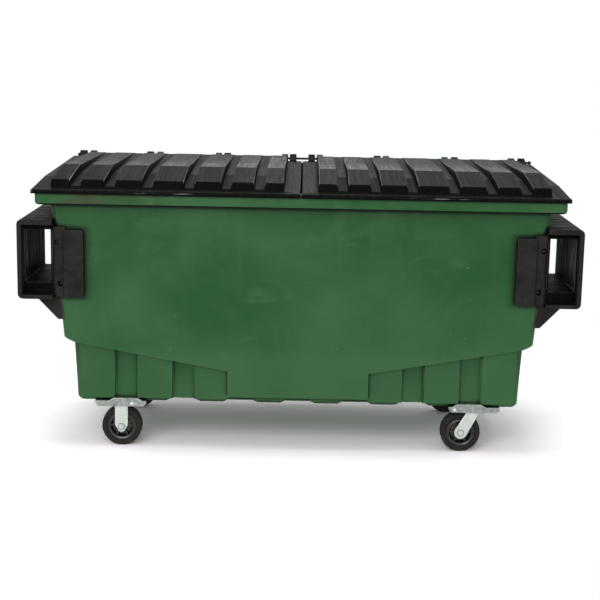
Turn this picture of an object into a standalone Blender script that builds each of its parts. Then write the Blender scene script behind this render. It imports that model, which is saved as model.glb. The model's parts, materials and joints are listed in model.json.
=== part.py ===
# A front-loading refuse container: a moulded tub on four casters, two ribbed lids that turn on
# one rod along the rear rim, and a fork pocket bolted to each front corner of the tub.
# Metres, +Z up. +X is to the right of someone facing the front, and the front faces -Y.
# The origin is on the ground under the middle of the whole container.
import math

import bmesh
import bpy
from mathutils import Matrix, Vector

# Gaps and overruns that several pieces share
rest_gap = 0.0003
overrun = 0.02
weld = 0.00001

# Tub: rim
rim_length = 1.938
rim_depth = 0.990
rim_height = 0.053
rim_top_z = 0.980
rim_rise = 0.028
rim_corner = 0.022
rim_round = 0.012
rim_top_round = 0.003

# Tub: walls below the rim
wall = 0.006
rim_overhang_side = 0.049
rim_overhang_front = 0.040
rim_overhang_rear = 0.035
body_corner = 0.026
body_bottom_z = 0.206
side_draft_share = 0.086
front_draft_share = 0.014
rear_draft_share = 0.229

# Tub: stepped-in lower part
shoulder_z = 0.412
shoulder_chamfer = 0.015
shoulder_inset = 0.004
skirt_inset_side = 0.034
skirt_inset_front = 0.018
skirt_draft_share = 0.05
skirt_bottom_z = 0.182
skirt_edge = 0.012
skirt_tuck = 0.07
panel_end_x = 0.264
panel_end_z = 0.3075
recess_depth = 0.014
recess_width = 0.092
recess_back_width = 0.084
recess_spread = 0.006

# Tub: feet under the floor, with grooves between them
end_groove_inset = 0.321
foot_drop = 0.011
groove_count = 7
groove_top = 0.096
groove_bottom = 0.130
floor_wall = 0.006

# Hinge
rod_setback = 0.030
rod_height = 0.041
rod_radius = 0.00475
rod_end_reach = 0.008
bore_clearance = 0.00075
knuckle_radius = 0.0195
knuckle_width = 0.029
lug_width = 0.027
lug_root = 0.010
lug_depth = 0.036
arm_root = 0.030
arm_thickness = 0.010
cap_radius = 0.0075
cap_length = 0.012
cap_depth = 0.008
knuckle_shares = (0.0409, 0.3310, 0.6724, 0.9676)
lug_shares = (0.0767, 0.3699, 0.6293, 0.9232)

# Lids
lid_wall = 0.0045
lid_overhang = 0.010
lid_gap = 0.007
lip_height = 0.015
lid_margin = 0.024
crown_run = 0.010
crown_front_rise = 0.011
crown_bend_rise = 0.028
crown_rear_rise = 0.0265
crown_edge_share = 0.70
bend_run = 0.280
rib_draft = 0.004
rib_foot_rise = 0.004
rib_front_run = 0.010
rib_front_rise = 0.033
rib_bend_rise = 0.0589
rib_rear_rise = 0.028
rear_margin = 0.016
rear_run = 0.030
rib_centre_shares = (0.0964, 0.2142, 0.3442, 0.4910, 0.6402, 0.7738, 0.8953)
rib_width_shares = (0.0750, 0.0887, 0.1042, 0.1184, 0.1029, 0.0911, 0.0768)

# Fork pockets
pocket_reach = 0.063
pocket_low_z = 0.581
pocket_high_z = 0.874
pocket_length = 0.450
pocket_corner = 0.018
pocket_frame = 0.016
pocket_rim_top = 0.020
pocket_inner_wall = 0.010
mouth_depth = 0.040
mouth_inset = 0.066
throat_run = 0.035
channel_low_z = 0.637
channel_high_z = 0.834
channel_wall = 0.019
pad_front = 0.036
pad_inset = 0.107
pad_edge = 0.004
pad_top_edge = 0.010
flange_front = 0.028
flange_inset = 0.173
flange_low_z = 0.583
gusset_setback = 0.024
gusset_low_z = 0.495
gusset_foot = 0.034
gusset_top_inset = 0.046
roof_groove_pitch = 0.075
roof_groove_first = 0.050
roof_groove_width = 0.012
roof_groove_depth = 0.004
roof_groove_count = 5

# Pocket bolts, which run at a slant through the tub's round front corners
pocket_bolt_slant = math.radians(15)
pocket_bolt_low = 0.053
pocket_bolt_high = 0.086
pocket_bolt_radius = 0.005
pocket_bolt_clearance = 0.0005
pocket_bolt_grip = 0.008
pocket_head_radius = 0.0085
pocket_head_height = 0.005
pocket_counterbore = 0.011
pocket_nut_radius = 0.009
pocket_nut_height = 0.008
pocket_bolt_tail = 0.004

# Casters: what both kinds share
wheel_radius = 0.0762
wheel_width = 0.0508
wheel_steps = 24
tyre_band = 0.021
tyre_shoulder = 0.007
hub_band = 0.007
hub_dish = 0.007
web_half = 0.007
boss_radius = 0.018
spoke_count = 6
spoke_thickness = 0.006
spoke_inset = 0.008
axle_radius = 0.006
axle_clearance = 0.0004
axle_head_radius = 0.0095
axle_head_height = 0.005
axle_tail = 0.004
axle_nut_height = 0.008
leg_gap = 0.005
leg_thickness = 0.004
leg_width = 0.049
plate_length = 0.114
plate_width = 0.102
plate_thickness = 0.006
plate_top_z = 0.1784
caster_inset = 0.302
front_axle_inset = 0.118
rear_axle_inset = 0.327

# Rigid casters
tip_radius = 0.0145
tip_drop = 0.008
leg_shoulder = 0.006

# Swivel casters
swivel_trail = 0.045
swivel_tip_radius = 0.0240
race_radius = 0.032
race_gap = 0.0003
crown_thickness = 0.004
crown_top_z = 0.1605
crown_radius = 0.036
kingpin_radius = 0.006
kingpin_clearance = 0.0004
kingpin_head_radius = 0.012
kingpin_head_height = 0.006

# Galvanised brackets between the tub and the casters
bracket_length = 0.193
bracket_wall = 0.003
bracket_side_gap = 0.003
bracket_low_z = 0.161
bracket_bevel = 0.012
bracket_pad_gap = 0.001

# Places worked out from the sizes above
overall_depth = lid_overhang + rim_depth + rod_setback + knuckle_radius
front_y = -overall_depth / 2
rim_front_y = front_y + lid_overhang
rim_rear_y = rim_front_y + rim_depth
rim_half = rim_length / 2
rim_slope = rim_rise / rim_depth
rod_y = rim_rear_y + rod_setback
rod_z = rim_top_z + rod_height
body_top_z = rim_top_z - rim_height
body_in_rim_z = rim_top_z - (rim_height - rim_rise) / 2
pocket_outer_x = rim_half + pocket_reach
mouth_inner_x = rim_half - mouth_inset
pad_inner_x = rim_half - pad_inset
flange_inner_x = rim_half - flange_inset
foot_pitch = (rim_half - end_groove_inset) / ((groove_count - 1) / 2)
caster_x = rim_half - caster_inset
front_axle_y = rim_front_y + front_axle_inset
rear_axle_y = rim_rear_y - rear_axle_inset
axle_z = wheel_radius * math.cos(math.pi / wheel_steps)


def body_half(z):
    """Half the tub's length at height z, above the shoulder."""
    return rim_half - rim_overhang_side - side_draft_share * (body_top_z - z)


def body_front(z):
    return rim_front_y + rim_overhang_front + front_draft_share * (body_top_z - z)


def body_rear(z):
    return rim_rear_y - rim_overhang_rear - rear_draft_share * (body_top_z - z)


def skirt_half(z):
    return body_half(shoulder_z) - skirt_inset_side - skirt_draft_share * (shoulder_z - z)


def rim_top(y):
    """Height of the rim's top, which rises towards the rear."""
    return rim_top_z + rim_slope * (y - rim_front_y)


# Making objects

def clear_scene():
    for obj in list(bpy.data.objects):
        bpy.data.objects.remove(obj)


def new_collection(name):
    collection = bpy.data.collections.new(name)
    bpy.context.scene.collection.children.link(collection)
    return collection


def new_material(name, colour, roughness, metallic=0.0):
    material = bpy.data.materials.new(name)
    material.use_nodes = True
    shader = material.node_tree.nodes["Principled BSDF"]
    shader.inputs["Base Color"].default_value = (*colour, 1.0)
    shader.inputs["Roughness"].default_value = roughness
    shader.inputs["Metallic"].default_value = metallic
    return material


clear_scene()
parts = new_collection("refuse_container")
tools = new_collection("cutters")
green_plastic = new_material("green_plastic", (0.05, 0.14, 0.055), 0.5)
black_plastic = new_material("black_plastic", (0.025, 0.025, 0.024), 0.55)
pocket_plastic = new_material("pocket_plastic", (0.028, 0.026, 0.025), 0.6)
tyre_rubber = new_material("tyre_rubber", (0.018, 0.017, 0.016), 0.7)
hub_plastic = new_material("hub_plastic", (0.02, 0.02, 0.02), 0.45)
zinc_plate = new_material("zinc_plate", (0.62, 0.65, 0.63), 0.35, 1.0)
galvanised = new_material("galvanised", (0.48, 0.50, 0.49), 0.5, 1.0)
bolt_steel = new_material("bolt_steel", (0.12, 0.12, 0.12), 0.5, 1.0)


def finish(name, bm, material):
    """One named part of the container from a closed bmesh."""
    mesh = bpy.data.meshes.new(name)
    bm.to_mesh(mesh)
    bm.free()
    mesh.materials.append(material)
    mesh.shade_smooth()
    mesh.set_sharp_from_angle(angle=math.radians(30))
    obj = bpy.data.objects.new(name, mesh)
    parts.objects.link(obj)
    return obj


def tool(name, bm):
    """A cutter or a shape to join, which is left out of the part itself."""
    mesh = bpy.data.meshes.new(name)
    bm.to_mesh(mesh)
    bm.free()
    obj = bpy.data.objects.new(name, mesh)
    obj.hide_render = True
    obj.display_type = "WIRE"
    tools.objects.link(obj)
    return obj


def boolean(obj, other, operation):
    modifier = obj.modifiers.new(f"{operation.lower()} {other.name}", "BOOLEAN")
    modifier.operation = operation
    modifier.solver = "EXACT"
    modifier.object = other


def cut(obj, *others):
    for other in others:
        boolean(obj, other, "DIFFERENCE")


def join(obj, *others):
    for other in others:
        boolean(obj, other, "UNION")


def hang(empty_name, place, objects, holder=None):
    """Parents objects, where they are, to an empty that lies on their joint's axis."""
    empty = bpy.data.objects.new(empty_name, None)
    empty.location = place
    parts.objects.link(empty)
    bpy.context.view_layer.update()
    for obj in objects:
        obj.parent = empty
        obj.matrix_parent_inverse = empty.matrix_world.inverted()
    if holder:
        empty.parent = holder
        empty.matrix_parent_inverse = holder.matrix_world.inverted()
    return empty


# Shapes

def loft(rings):
    """A closed mesh through rings of as many points each, with the first and last filled."""
    bm = bmesh.new()
    loops = [[bm.verts.new(point) for point in ring] for ring in rings]
    count = len(loops[0])
    for lower, upper in zip(loops, loops[1:]):
        for i in range(count):
            j = (i + 1) % count
            bm.faces.new((lower[i], lower[j], upper[j], upper[i]))
    bm.faces.new(loops[0])
    bm.faces.new(loops[-1])
    bmesh.ops.recalc_face_normals(bm, faces=bm.faces)
    return bm


def arc(centre_u, centre_v, radius, start, end, steps):
    """Points from angle start to angle end, in degrees, anticlockwise where end is larger."""
    angles = [math.radians(start + (end - start) * i / steps) for i in range(steps + 1)]
    return [(centre_u + radius * math.cos(a), centre_v + radius * math.sin(a)) for a in angles]


def rounded_ring(half, front, rear, radius, height, steps=4):
    """A level ring with round corners. height gives a point's height from its y."""
    corners = (
        (half - radius, front + radius, -90),
        (half - radius, rear - radius, 0),
        (-half + radius, rear - radius, 90),
        (-half + radius, front + radius, 180),
    )
    outline = []
    for x, y, start in corners:
        outline += arc(x, y, radius, start, start + 90, steps)
    return [(x, y, height(y)) for x, y in outline]


def level(z):
    return lambda y: z


def below_rim(drop):
    return lambda y: rim_top(y) - drop


def prism_along_y(outline, low, high):
    return loft([[(x, y, z) for x, z in outline] for y in (low, high)])


def prism_along_x(outline, low, high):
    return loft([[(x, y, z) for y, z in outline] for x in (low, high)])


def box(low, high):
    bm = bmesh.new()
    bmesh.ops.create_cube(bm, size=1.0)
    size = [b - a for a, b in zip(low, high)]
    centre = [(a + b) / 2 for a, b in zip(low, high)]
    bmesh.ops.scale(bm, vec=[abs(side) for side in size], verts=bm.verts)
    bmesh.ops.translate(bm, vec=centre, verts=bm.verts)
    return bm


def cylinder(radius, start, end, segments=12):
    """A cylinder between the centres of its two flat ends."""
    along = Vector(end) - Vector(start)
    turn = along.to_track_quat("Z", "Y").to_matrix().to_4x4()
    middle = (Vector(start) + Vector(end)) / 2
    bm = bmesh.new()
    bmesh.ops.create_cone(
        bm, cap_ends=True, segments=segments, radius1=radius, radius2=radius,
        depth=along.length, matrix=Matrix.Translation(middle) @ turn,
    )
    return bm


def merged(shapes):
    """Several closed shapes that lie apart, as one bmesh."""
    whole = bmesh.new()
    for shape in shapes:
        mesh = bpy.data.meshes.new("shape")
        shape.to_mesh(mesh)
        shape.free()
        whole.from_mesh(mesh)
        bpy.data.meshes.remove(mesh)
    return whole


def turned(name, profile, place, material):
    """A closed profile of (radius, along) points turned round an axis along Y through place."""
    mesh = bpy.data.meshes.new(name)
    points = [(radius, 0.0, along) for radius, along in profile]
    edges = [(i, (i + 1) % len(points)) for i in range(len(points))]
    mesh.from_pydata(points, edges, [])
    mesh.materials.append(material)
    obj = bpy.data.objects.new(name, mesh)
    parts.objects.link(obj)
    obj.location = place
    obj.rotation_euler = (math.radians(-90), math.pi / wheel_steps, 0.0)
    screw = obj.modifiers.new("turn", "SCREW")
    screw.steps = screw.render_steps = wheel_steps
    screw.use_merge_vertices = True
    screw.merge_threshold = weld
    screw.use_smooth_shade = True
    return obj


# Tub

def body_ring(z, grow):
    return rounded_ring(
        body_half(z) + grow, body_front(z) - grow, body_rear(z) + grow,
        body_corner + grow, level(z),
    )


def body_form(bottom, top, grow=0.0):
    return loft([body_ring(bottom, grow), body_ring(top, grow)])


def skirt_ring(z, grow):
    return rounded_ring(
        skirt_half(z) + grow, body_front(z) + skirt_inset_front - grow,
        body_rear(z) - skirt_inset_front + grow, body_corner + grow, level(z),
    )


def panel_outline(side, grow):
    """What is cut away below each sloping edge, seen from the front, grown towards the tub."""
    slope = shoulder_chamfer / (body_half(shoulder_z + shoulder_chamfer) - skirt_half(shoulder_z))
    outer = rim_half + overrun
    bend_x = skirt_half(shoulder_z) - shoulder_inset - grow
    bend_z = shoulder_z - slope * shoulder_inset + grow
    points = [
        (panel_end_x - grow, skirt_bottom_z - overrun),
        (outer, skirt_bottom_z - overrun),
        (outer, bend_z + slope * (outer - bend_x)),
        (bend_x, bend_z),
        (panel_end_x - grow, panel_end_z + grow),
    ]
    return [(side * x, z) for x, z in points]


def panel_cutters(name, grow):
    low, high = front_y - overrun, rim_rear_y + overrun
    return tool(name, merged([prism_along_y(panel_outline(s, grow), low, high) for s in (-1, 1)]))


def recess_boxes(name, grow):
    """Upright recesses over the grooves, in the front and the rear of the lower part."""
    boxes = []
    for side in (-1, 1):
        for place in (2, 3):
            x = side * place * foot_pitch
            for facing, wall_at in ((1, body_front), (-1, body_rear)):
                rings = []
                for z, spread in ((skirt_bottom_z - overrun, recess_spread),
                                  (shoulder_z + skirt_tuck, 0.0)):
                    face = wall_at(z) + facing * skirt_inset_front
                    inner = face + facing * (recess_depth + grow)
                    outer = face - facing * overrun
                    open_half = recess_width / 2 + spread + grow
                    back_half = recess_back_width / 2 - spread + grow
                    rings.append([
                        (x - open_half, outer, z), (x + open_half, outer, z),
                        (x + back_half, inner, z), (x - back_half, inner, z),
                    ])
                boxes.append(loft(rings))
    return tool(name, merged(boxes))


def skirt(name, grow, bottom):
    top = shoulder_z + skirt_tuck
    rings = [skirt_ring(bottom + skirt_edge, grow), skirt_ring(top, grow)]
    rings.insert(0, skirt_ring(bottom, grow - skirt_edge))
    return tool(name, loft(rings))


def groove_cutters():
    """Grooves along the underside, which leave a foot on each side of them."""
    grooves = []
    for i in range(groove_count):
        x = (i - (groove_count - 1) / 2) * foot_pitch
        flare = (groove_bottom - groove_top) / 2 / foot_drop
        deep = skirt_bottom_z - overrun
        wide = groove_top / 2 + flare * (foot_drop + overrun)
        outline = [
            (x - wide, deep), (x + wide, deep),
            (x + groove_top / 2, skirt_bottom_z + foot_drop),
            (x - groove_top / 2, skirt_bottom_z + foot_drop),
        ]
        grooves.append(prism_along_y(outline, front_y, rim_rear_y))
    return tool("groove_cutters", merged(grooves))


def rim_block():
    half, front, rear = rim_half, rim_front_y, rim_rear_y
    lower = [(rim_round * (1 - math.sin(math.radians(a))), rim_round * (1 - math.cos(math.radians(a))))
             for a in (0, 30, 60, 90)]
    rings = [
        rounded_ring(half - inset, front + inset, rear - inset, rim_corner - inset,
                     below_rim(rim_height - up))
        for inset, up in lower
    ]
    rings.append(rounded_ring(half, front, rear, rim_corner, below_rim(rim_top_round)))
    rings.append(rounded_ring(
        half - rim_top_round, front + rim_top_round, rear - rim_top_round,
        rim_corner - rim_top_round, below_rim(0.0),
    ))
    return tool("rim_block", loft(rings))


def lug_outline():
    """A lug seen from the side: a round end about the rod on a neck from the rim's rear face."""
    root = rim_rear_y - lug_root
    edge = rim_top(rim_rear_y) - rim_top_round
    return arc(rod_y, rod_z, knuckle_radius, 200, -70, 9) + [
        (rim_rear_y + rim_top_round / 2, edge - lug_depth),
        (root, edge - lug_depth),
        (root, edge),
        (rim_rear_y + rest_gap, edge),
    ]


def both_sides(shares):
    """Places along the rim, left and right, of shares of its half length."""
    return [side * share * lid_reach() for side in (-1, 1) for share in shares]


def lid_reach():
    return rim_half + lid_overhang


def lugs():
    return tool("lugs", merged([
        prism_along_x(lug_outline(), x - lug_width / 2, x + lug_width / 2)
        for x in both_sides(lug_shares)
    ]))


def rod_bore():
    reach = lid_reach() + overrun
    return tool("rod_bore", cylinder(
        rod_radius + bore_clearance, (-reach, rod_y, rod_z), (reach, rod_y, rod_z),
    ))


def cavity():
    """The inside of the tub: its own form, one wall smaller, with the panels' backs in it."""
    floor = skirt_bottom_z + foot_drop + floor_wall
    top = rim_top_z + rim_rise + overrun
    inside = tool("cavity", body_form(body_bottom_z + wall, top, -wall))
    lower = skirt("cavity_skirt", -wall, floor)
    cut(lower, recess_boxes("cavity_recesses", wall))
    cut(inside, panel_cutters("cavity_panels", wall))
    join(inside, lower)
    return inside


def make_tub(bore):
    tub = finish("tub", body_form(body_bottom_z, body_in_rim_z), green_plastic)
    lower = skirt("skirt", 0.0, skirt_bottom_z)
    cut(lower, recess_boxes("recesses", 0.0), groove_cutters())
    cut(tub, panel_cutters("panels", 0.0))
    join(tub, lower, rim_block())
    cut(tub, cavity())
    join(tub, lugs())
    cut(tub, bore)
    return tub


# Lids

def lid_rows():
    """From front to rear: distance from the front edge, rise of the panel, rise of the ribs, and
    how many walls further back the underside's row lies."""
    depth = lid_overhang + rim_depth
    rib_front = lid_margin + crown_run + rib_front_run
    return [
        (0.0, -lip_height, -lip_height, 1),
        (0.0, 0.0, 0.0, 1),
        (lid_margin, 0.0, 0.0, 1),
        (lid_margin + crown_run, crown_front_rise, rib_foot_rise, 1),
        (rib_front, crown_front_rise, rib_front_rise, 1),
        (bend_run, crown_bend_rise, rib_bend_rise, 0),
        (depth - rear_margin - rear_run, crown_rear_rise, rib_rear_rise, -1),
        (depth - rear_margin, 0.0, 0.0, -1),
        (depth, 0.0, 0.0, 0),
    ]


def lid_columns():
    """Outwards: distance from the middle of the container, what the column follows, and how many
    walls further out the underside's column lies."""
    inner, outer = lid_gap / 2, lid_reach()
    width = outer - inner
    columns = [(inner, "margin", 0)]
    feet = ["foot"] + ["crown"] * (len(rib_centre_shares) - 1) + ["edge"]
    ribs = zip(rib_centre_shares, rib_width_shares, feet, feet[1:])
    for centre, share, inner_foot, outer_foot in ribs:
        middle, half = inner + centre * width, share * width / 2
        columns += [(middle - half, inner_foot, 1), (middle - half + rib_draft, "rib", 1),
                    (middle + half - rib_draft, "rib", -1), (middle + half, outer_foot, -1)]
    return columns + [(outer, "edge", -1), (outer, "lip", -1)]


def lid_point(side, row, column, walls_under):
    """A point on the lid's top skin, or on its underside where walls_under is 1."""
    back, panel_rise, rib_rise, row_shift = row
    x, follows, column_shift = column
    rise = {
        "lip": -lip_height, "margin": min(0.0, panel_rise), "crown": panel_rise,
        "foot": min(rib_foot_rise, panel_rise), "rib": rib_rise,
        "edge": min(0.0, panel_rise) + crown_edge_share * max(0.0, panel_rise - crown_front_rise),
    }[follows]
    under = lid_wall * walls_under
    y = front_y + back + row_shift * under
    drop = under if rise > -lip_height else 0.0
    return side * (x + column_shift * under), y, rim_top(y) + rest_gap + lid_wall + rise - drop


def lid_shell(side):
    """One ribbed lid as a closed shell of a top skin, an underside and the edges between them."""
    rows, columns = lid_rows(), lid_columns()
    bm = bmesh.new()
    top, under = [
        [[bm.verts.new(lid_point(side, row, column, skin)) for column in columns] for row in rows]
        for skin in (0, 1)
    ]
    for skin in (top, under):
        for near, far in zip(skin, skin[1:]):
            for i in range(len(columns) - 1):
                bm.faces.new((near[i], near[i + 1], far[i + 1], far[i]))
    edges = [
        (top[0], under[0]), (top[-1], under[-1]),
        ([row[0] for row in top], [row[0] for row in under]),
        ([row[-1] for row in top], [row[-1] for row in under]),
    ]
    for upper, lower in edges:
        for i in range(len(upper) - 1):
            bm.faces.new((upper[i], upper[i + 1], lower[i + 1], lower[i]))
    bmesh.ops.remove_doubles(bm, verts=bm.verts, dist=weld)
    bmesh.ops.recalc_face_normals(bm, faces=bm.faces)
    return bm


def arm_outline():
    """A lid's hinge arm seen from the side: a round end about the rod and a flat root."""
    under = rim_top(rim_rear_y) + rest_gap * 2
    root = rim_rear_y - arm_root
    return arc(rod_y, rod_z, knuckle_radius, 105, -100, 8) + [
        (rim_rear_y, under), (root, under), (root, under + arm_thickness),
    ]


def make_lid(name, side, bore):
    lid = finish(name, lid_shell(side), black_plastic)
    arms = tool(f"{name}_arms", merged([
        prism_along_x(arm_outline(), side * x - knuckle_width / 2, side * x + knuckle_width / 2)
        for x in [share * lid_reach() for share in knuckle_shares]
    ]))
    join(lid, arms)
    cut(lid, bore)
    hang(f"{name}_axis", (0.0, rod_y, rod_z), [lid])


def make_rod():
    """The rod, which ends close by the left lid's outer knuckle and stands out at the right."""
    left = -(knuckle_shares[-1] * lid_reach() + knuckle_width / 2 + rest_gap + cap_depth)
    right = lid_reach() + rod_end_reach
    finish("hinge_rod", cylinder(
        rod_radius, (left, rod_y, rod_z), (right, rod_y, rod_z),
    ), bolt_steel)
    for name, side, end in (("rod_cap_left", -1, left), ("rod_cap_right", 1, right)):
        bottom = end + side * rest_gap
        mouth = bottom - side * cap_depth
        cap = finish(name, cylinder(
            cap_radius, (mouth, rod_y, rod_z), (mouth + side * cap_length, rod_y, rod_z),
        ), black_plastic)
        cut(cap, tool(f"{name}_bore", cylinder(
            rod_radius + rest_gap, (mouth - side * overrun, rod_y, rod_z), (bottom, rod_y, rod_z),
        )))


# Fork pockets

def channel_inner():
    """Where a pocket's channel starts, one pocket wall outside the tub's side."""
    return body_half(channel_high_z) + pocket_inner_wall


def across(side, low, high, front, rear, bottom, top):
    """A box between two distances from the middle, on one side of the container."""
    xs = sorted((side * low, side * high))
    return box((xs[0], front, bottom), (xs[1], rear, top))


def pocket_shell(side):
    """The pocket's outer box, with round corners on its outer side."""
    r, outer = pocket_corner, pocket_outer_x
    outline = (
        [(mouth_inner_x, pocket_low_z)]
        + arc(outer - r, pocket_low_z + r, r, -90, 0, 4)
        + arc(outer - r, pocket_high_z - r, r, 0, 90, 4)
        + [(mouth_inner_x, pocket_high_z)]
    )
    return prism_along_y([(side * x, z) for x, z in outline], front_y, front_y + pocket_length)


def gusset(side):
    """The sloping underside that carries the box down to the tub's side."""
    bottom = gusset_low_z
    outline = [
        (pad_inner_x, bottom), (pad_inner_x + gusset_foot, bottom),
        (pocket_outer_x - gusset_top_inset, pocket_low_z + pocket_frame / 2),
        (pad_inner_x, pocket_low_z + pocket_frame / 2),
    ]
    return prism_along_y([(side * x, z) for x, z in outline],
                         front_y + pad_front + gusset_setback,
                         front_y + pocket_length - pocket_corner)


def channel_cutter(side):
    """The fork's way through, which narrows behind the mouth to pass the tub's corner."""
    near, far = front_y + mouth_depth - weld, front_y + pocket_length + overrun
    outer = pocket_outer_x - channel_wall
    rings = []
    for y, inner in ((near, mouth_inner_x), (near + throat_run, channel_inner()), (far, channel_inner())):
        rings.append([(side * x, y, z) for x, z in (
            (inner, channel_low_z), (outer, channel_low_z),
            (outer, channel_high_z), (inner, channel_high_z),
        )])
    return loft(rings)


def roof_grooves(side):
    depth = roof_groove_depth
    grooves = []
    for i in range(roof_groove_count):
        y = front_y + roof_groove_first + i * roof_groove_pitch
        grooves.append(across(side, mouth_inner_x - overrun, pocket_outer_x + overrun, y,
                              y + roof_groove_width, pocket_high_z - depth, pocket_high_z + overrun))
    return merged(grooves)


def make_pocket(word, side, body):
    name = f"fork_pocket_{word}"
    pocket = finish(name, pocket_shell(side), pocket_plastic)
    pad = across(side, pad_inner_x, channel_inner(), front_y + pad_front, front_y + pocket_length,
                 pocket_low_z + pad_edge, channel_high_z + pad_top_edge)
    flange = across(side, flange_inner_x, pad_inner_x + pad_edge, front_y + flange_front,
                    rim_front_y + rim_overhang_front + overrun,
                    flange_low_z, channel_high_z)
    join(pocket, tool(f"{name}_pad", pad), tool(f"{name}_flange", flange),
         tool(f"{name}_gusset", gusset(side)))
    mouth = across(side, mouth_inner_x, pocket_outer_x - pocket_frame, front_y - overrun,
                   front_y + mouth_depth, pocket_low_z + pocket_frame, pocket_high_z - pocket_rim_top)
    cut(pocket, tool(f"{name}_mouth", mouth), tool(f"{name}_channel", channel_cutter(side)),
        tool(f"{name}_roof_grooves", roof_grooves(side)), body)
    return pocket


def pocket_bolt_line(side, z):
    """A function that gives points on a bolt's axis, by their distance from the corner's centre."""
    centre = Vector((side * (body_half(z) - body_corner), body_front(z) + body_corner, z))
    outwards = Vector((side * math.sin(pocket_bolt_slant), -math.cos(pocket_bolt_slant), 0.0))
    return lambda distance: centre + outwards * distance


def make_pocket_bolts(word, side, pocket, tub):
    """Two bolts through the pocket's pad and the tub's corner, each with its nut inside the tub."""
    seat = body_corner + pocket_bolt_grip
    inside = body_corner - wall
    nut_seat = math.sqrt(inside ** 2 - pocket_nut_radius ** 2) - rest_gap
    tail = nut_seat - pocket_nut_height - pocket_bolt_tail
    head = seat + rest_gap
    hole = pocket_bolt_radius + pocket_bolt_clearance
    heights = (("upper", pocket_high_z - pocket_bolt_high), ("lower", pocket_low_z + pocket_bolt_low))
    for end, z in heights:
        at = pocket_bolt_line(side, z)
        where = f"{word}_{end}"
        holes = tool(f"pocket_bolt_hole_{where}", cylinder(hole, at(tail), at(seat + overrun)))
        counterbore = cylinder(pocket_counterbore, at(seat), at(seat + overrun))
        cut(pocket, holes, tool(f"pocket_counterbore_{where}", counterbore))
        cut(tub, holes)
        bolt = finish(f"pocket_bolt_{where}", cylinder(
            pocket_head_radius, at(head), at(head + pocket_head_height)), bolt_steel)
        join(bolt, tool(f"pocket_shank_{where}", cylinder(
            pocket_bolt_radius, at(tail), at(head + pocket_head_height / 2))))
        nut = finish(f"pocket_nut_{where}", cylinder(
            pocket_nut_radius, at(nut_seat - pocket_nut_height), at(nut_seat), 6), galvanised)
        cut(nut, tool(f"pocket_nut_bore_{where}", cylinder(
            pocket_bolt_radius + rest_gap, at(tail), at(nut_seat + overrun))))


# Casters

def make_wheel(word, x, y):
    """A tyre on a spoked hub, both about an axle along Y at (x, y)."""
    half = wheel_width / 2
    seat = wheel_radius - tyre_band
    tyre_profile = (
        [(seat + rest_gap, half - tyre_shoulder / 2)]
        + [(wheel_radius - tyre_shoulder, half)]
        + [(wheel_radius - tyre_shoulder / 4, half - tyre_shoulder / 2)]
        + [(wheel_radius, half - tyre_shoulder)]
        + [(wheel_radius, -half + tyre_shoulder)]
        + [(wheel_radius - tyre_shoulder / 4, -half + tyre_shoulder / 2)]
        + [(wheel_radius - tyre_shoulder, -half)]
        + [(seat + rest_gap, -half + tyre_shoulder / 2)]
    )
    place = (x, y, axle_z)
    tyre = turned(f"tyre_{word}", tyre_profile, place, tyre_rubber)
    rim_half_width = half - tyre_shoulder / 2
    bore = axle_radius + axle_clearance
    one_side = [
        (seat, rim_half_width), (seat - hub_band, rim_half_width),
        (seat - hub_band - hub_dish, web_half), (boss_radius + hub_dish / 2, web_half),
        (boss_radius, half + leg_gap / 2), (bore, half + leg_gap / 2),
    ]
    profile = one_side[::-1] + [(radius, -along) for radius, along in one_side]
    hub = turned(f"hub_{word}", profile, place, hub_plastic)
    spokes = []
    inner, outer = boss_radius - hub_dish / 2, seat - hub_band / 2
    for i in range(spoke_count):
        spoke = box((inner, -rim_half_width + spoke_inset, -spoke_thickness / 2),
                    (outer, rim_half_width - spoke_inset, spoke_thickness / 2))
        turn = Matrix.Rotation(2 * math.pi * i / spoke_count, 4, "Y")
        bmesh.ops.transform(spoke, matrix=Matrix.Translation(place) @ turn, verts=spoke.verts)
        spokes.append(spoke)
    join(hub, tool(f"hub_{word}_spokes", merged(spokes)))
    hang(f"wheel_{word}_axis", place, [tyre, hub])


def leg_faces(y):
    """Y of the inner and outer faces of the front and the rear leg about an axle at y."""
    inner = wheel_width / 2 + leg_gap
    outer = inner + leg_thickness
    return ((y - outer, y - inner), (y + inner, y + outer))


def make_axle(word, x, y):
    """A bolt through both legs and the wheel, with its nut behind the rear leg."""
    (head_y, _), (_, far_y) = leg_faces(y)
    nut_y = far_y + rest_gap
    end_y = nut_y + axle_nut_height + axle_tail
    bolt = finish(f"axle_bolt_{word}", cylinder(
        axle_head_radius, (x, head_y - rest_gap - axle_head_height, axle_z),
        (x, head_y - rest_gap, axle_z), 6,
    ), zinc_plate)
    join(bolt, tool(f"{bolt.name}_shank", cylinder(
        axle_radius, (x, head_y - rest_gap - axle_head_height / 2, axle_z),
        (x, end_y, axle_z),
    )))
    nut = finish(f"axle_nut_{word}", cylinder(
        axle_head_radius, (x, nut_y, axle_z), (x, nut_y + axle_nut_height, axle_z), 6,
    ), zinc_plate)
    cut(nut, tool(f"{nut.name}_bore", cylinder(
        axle_radius + rest_gap, (x, nut_y - overrun, axle_z), (x, end_y + overrun, axle_z),
    )))
    return tool(f"axle_hole_{word}", cylinder(
        axle_radius + axle_clearance, (x, head_y - overrun, axle_z), (x, end_y, axle_z),
    )), bolt, nut


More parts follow.
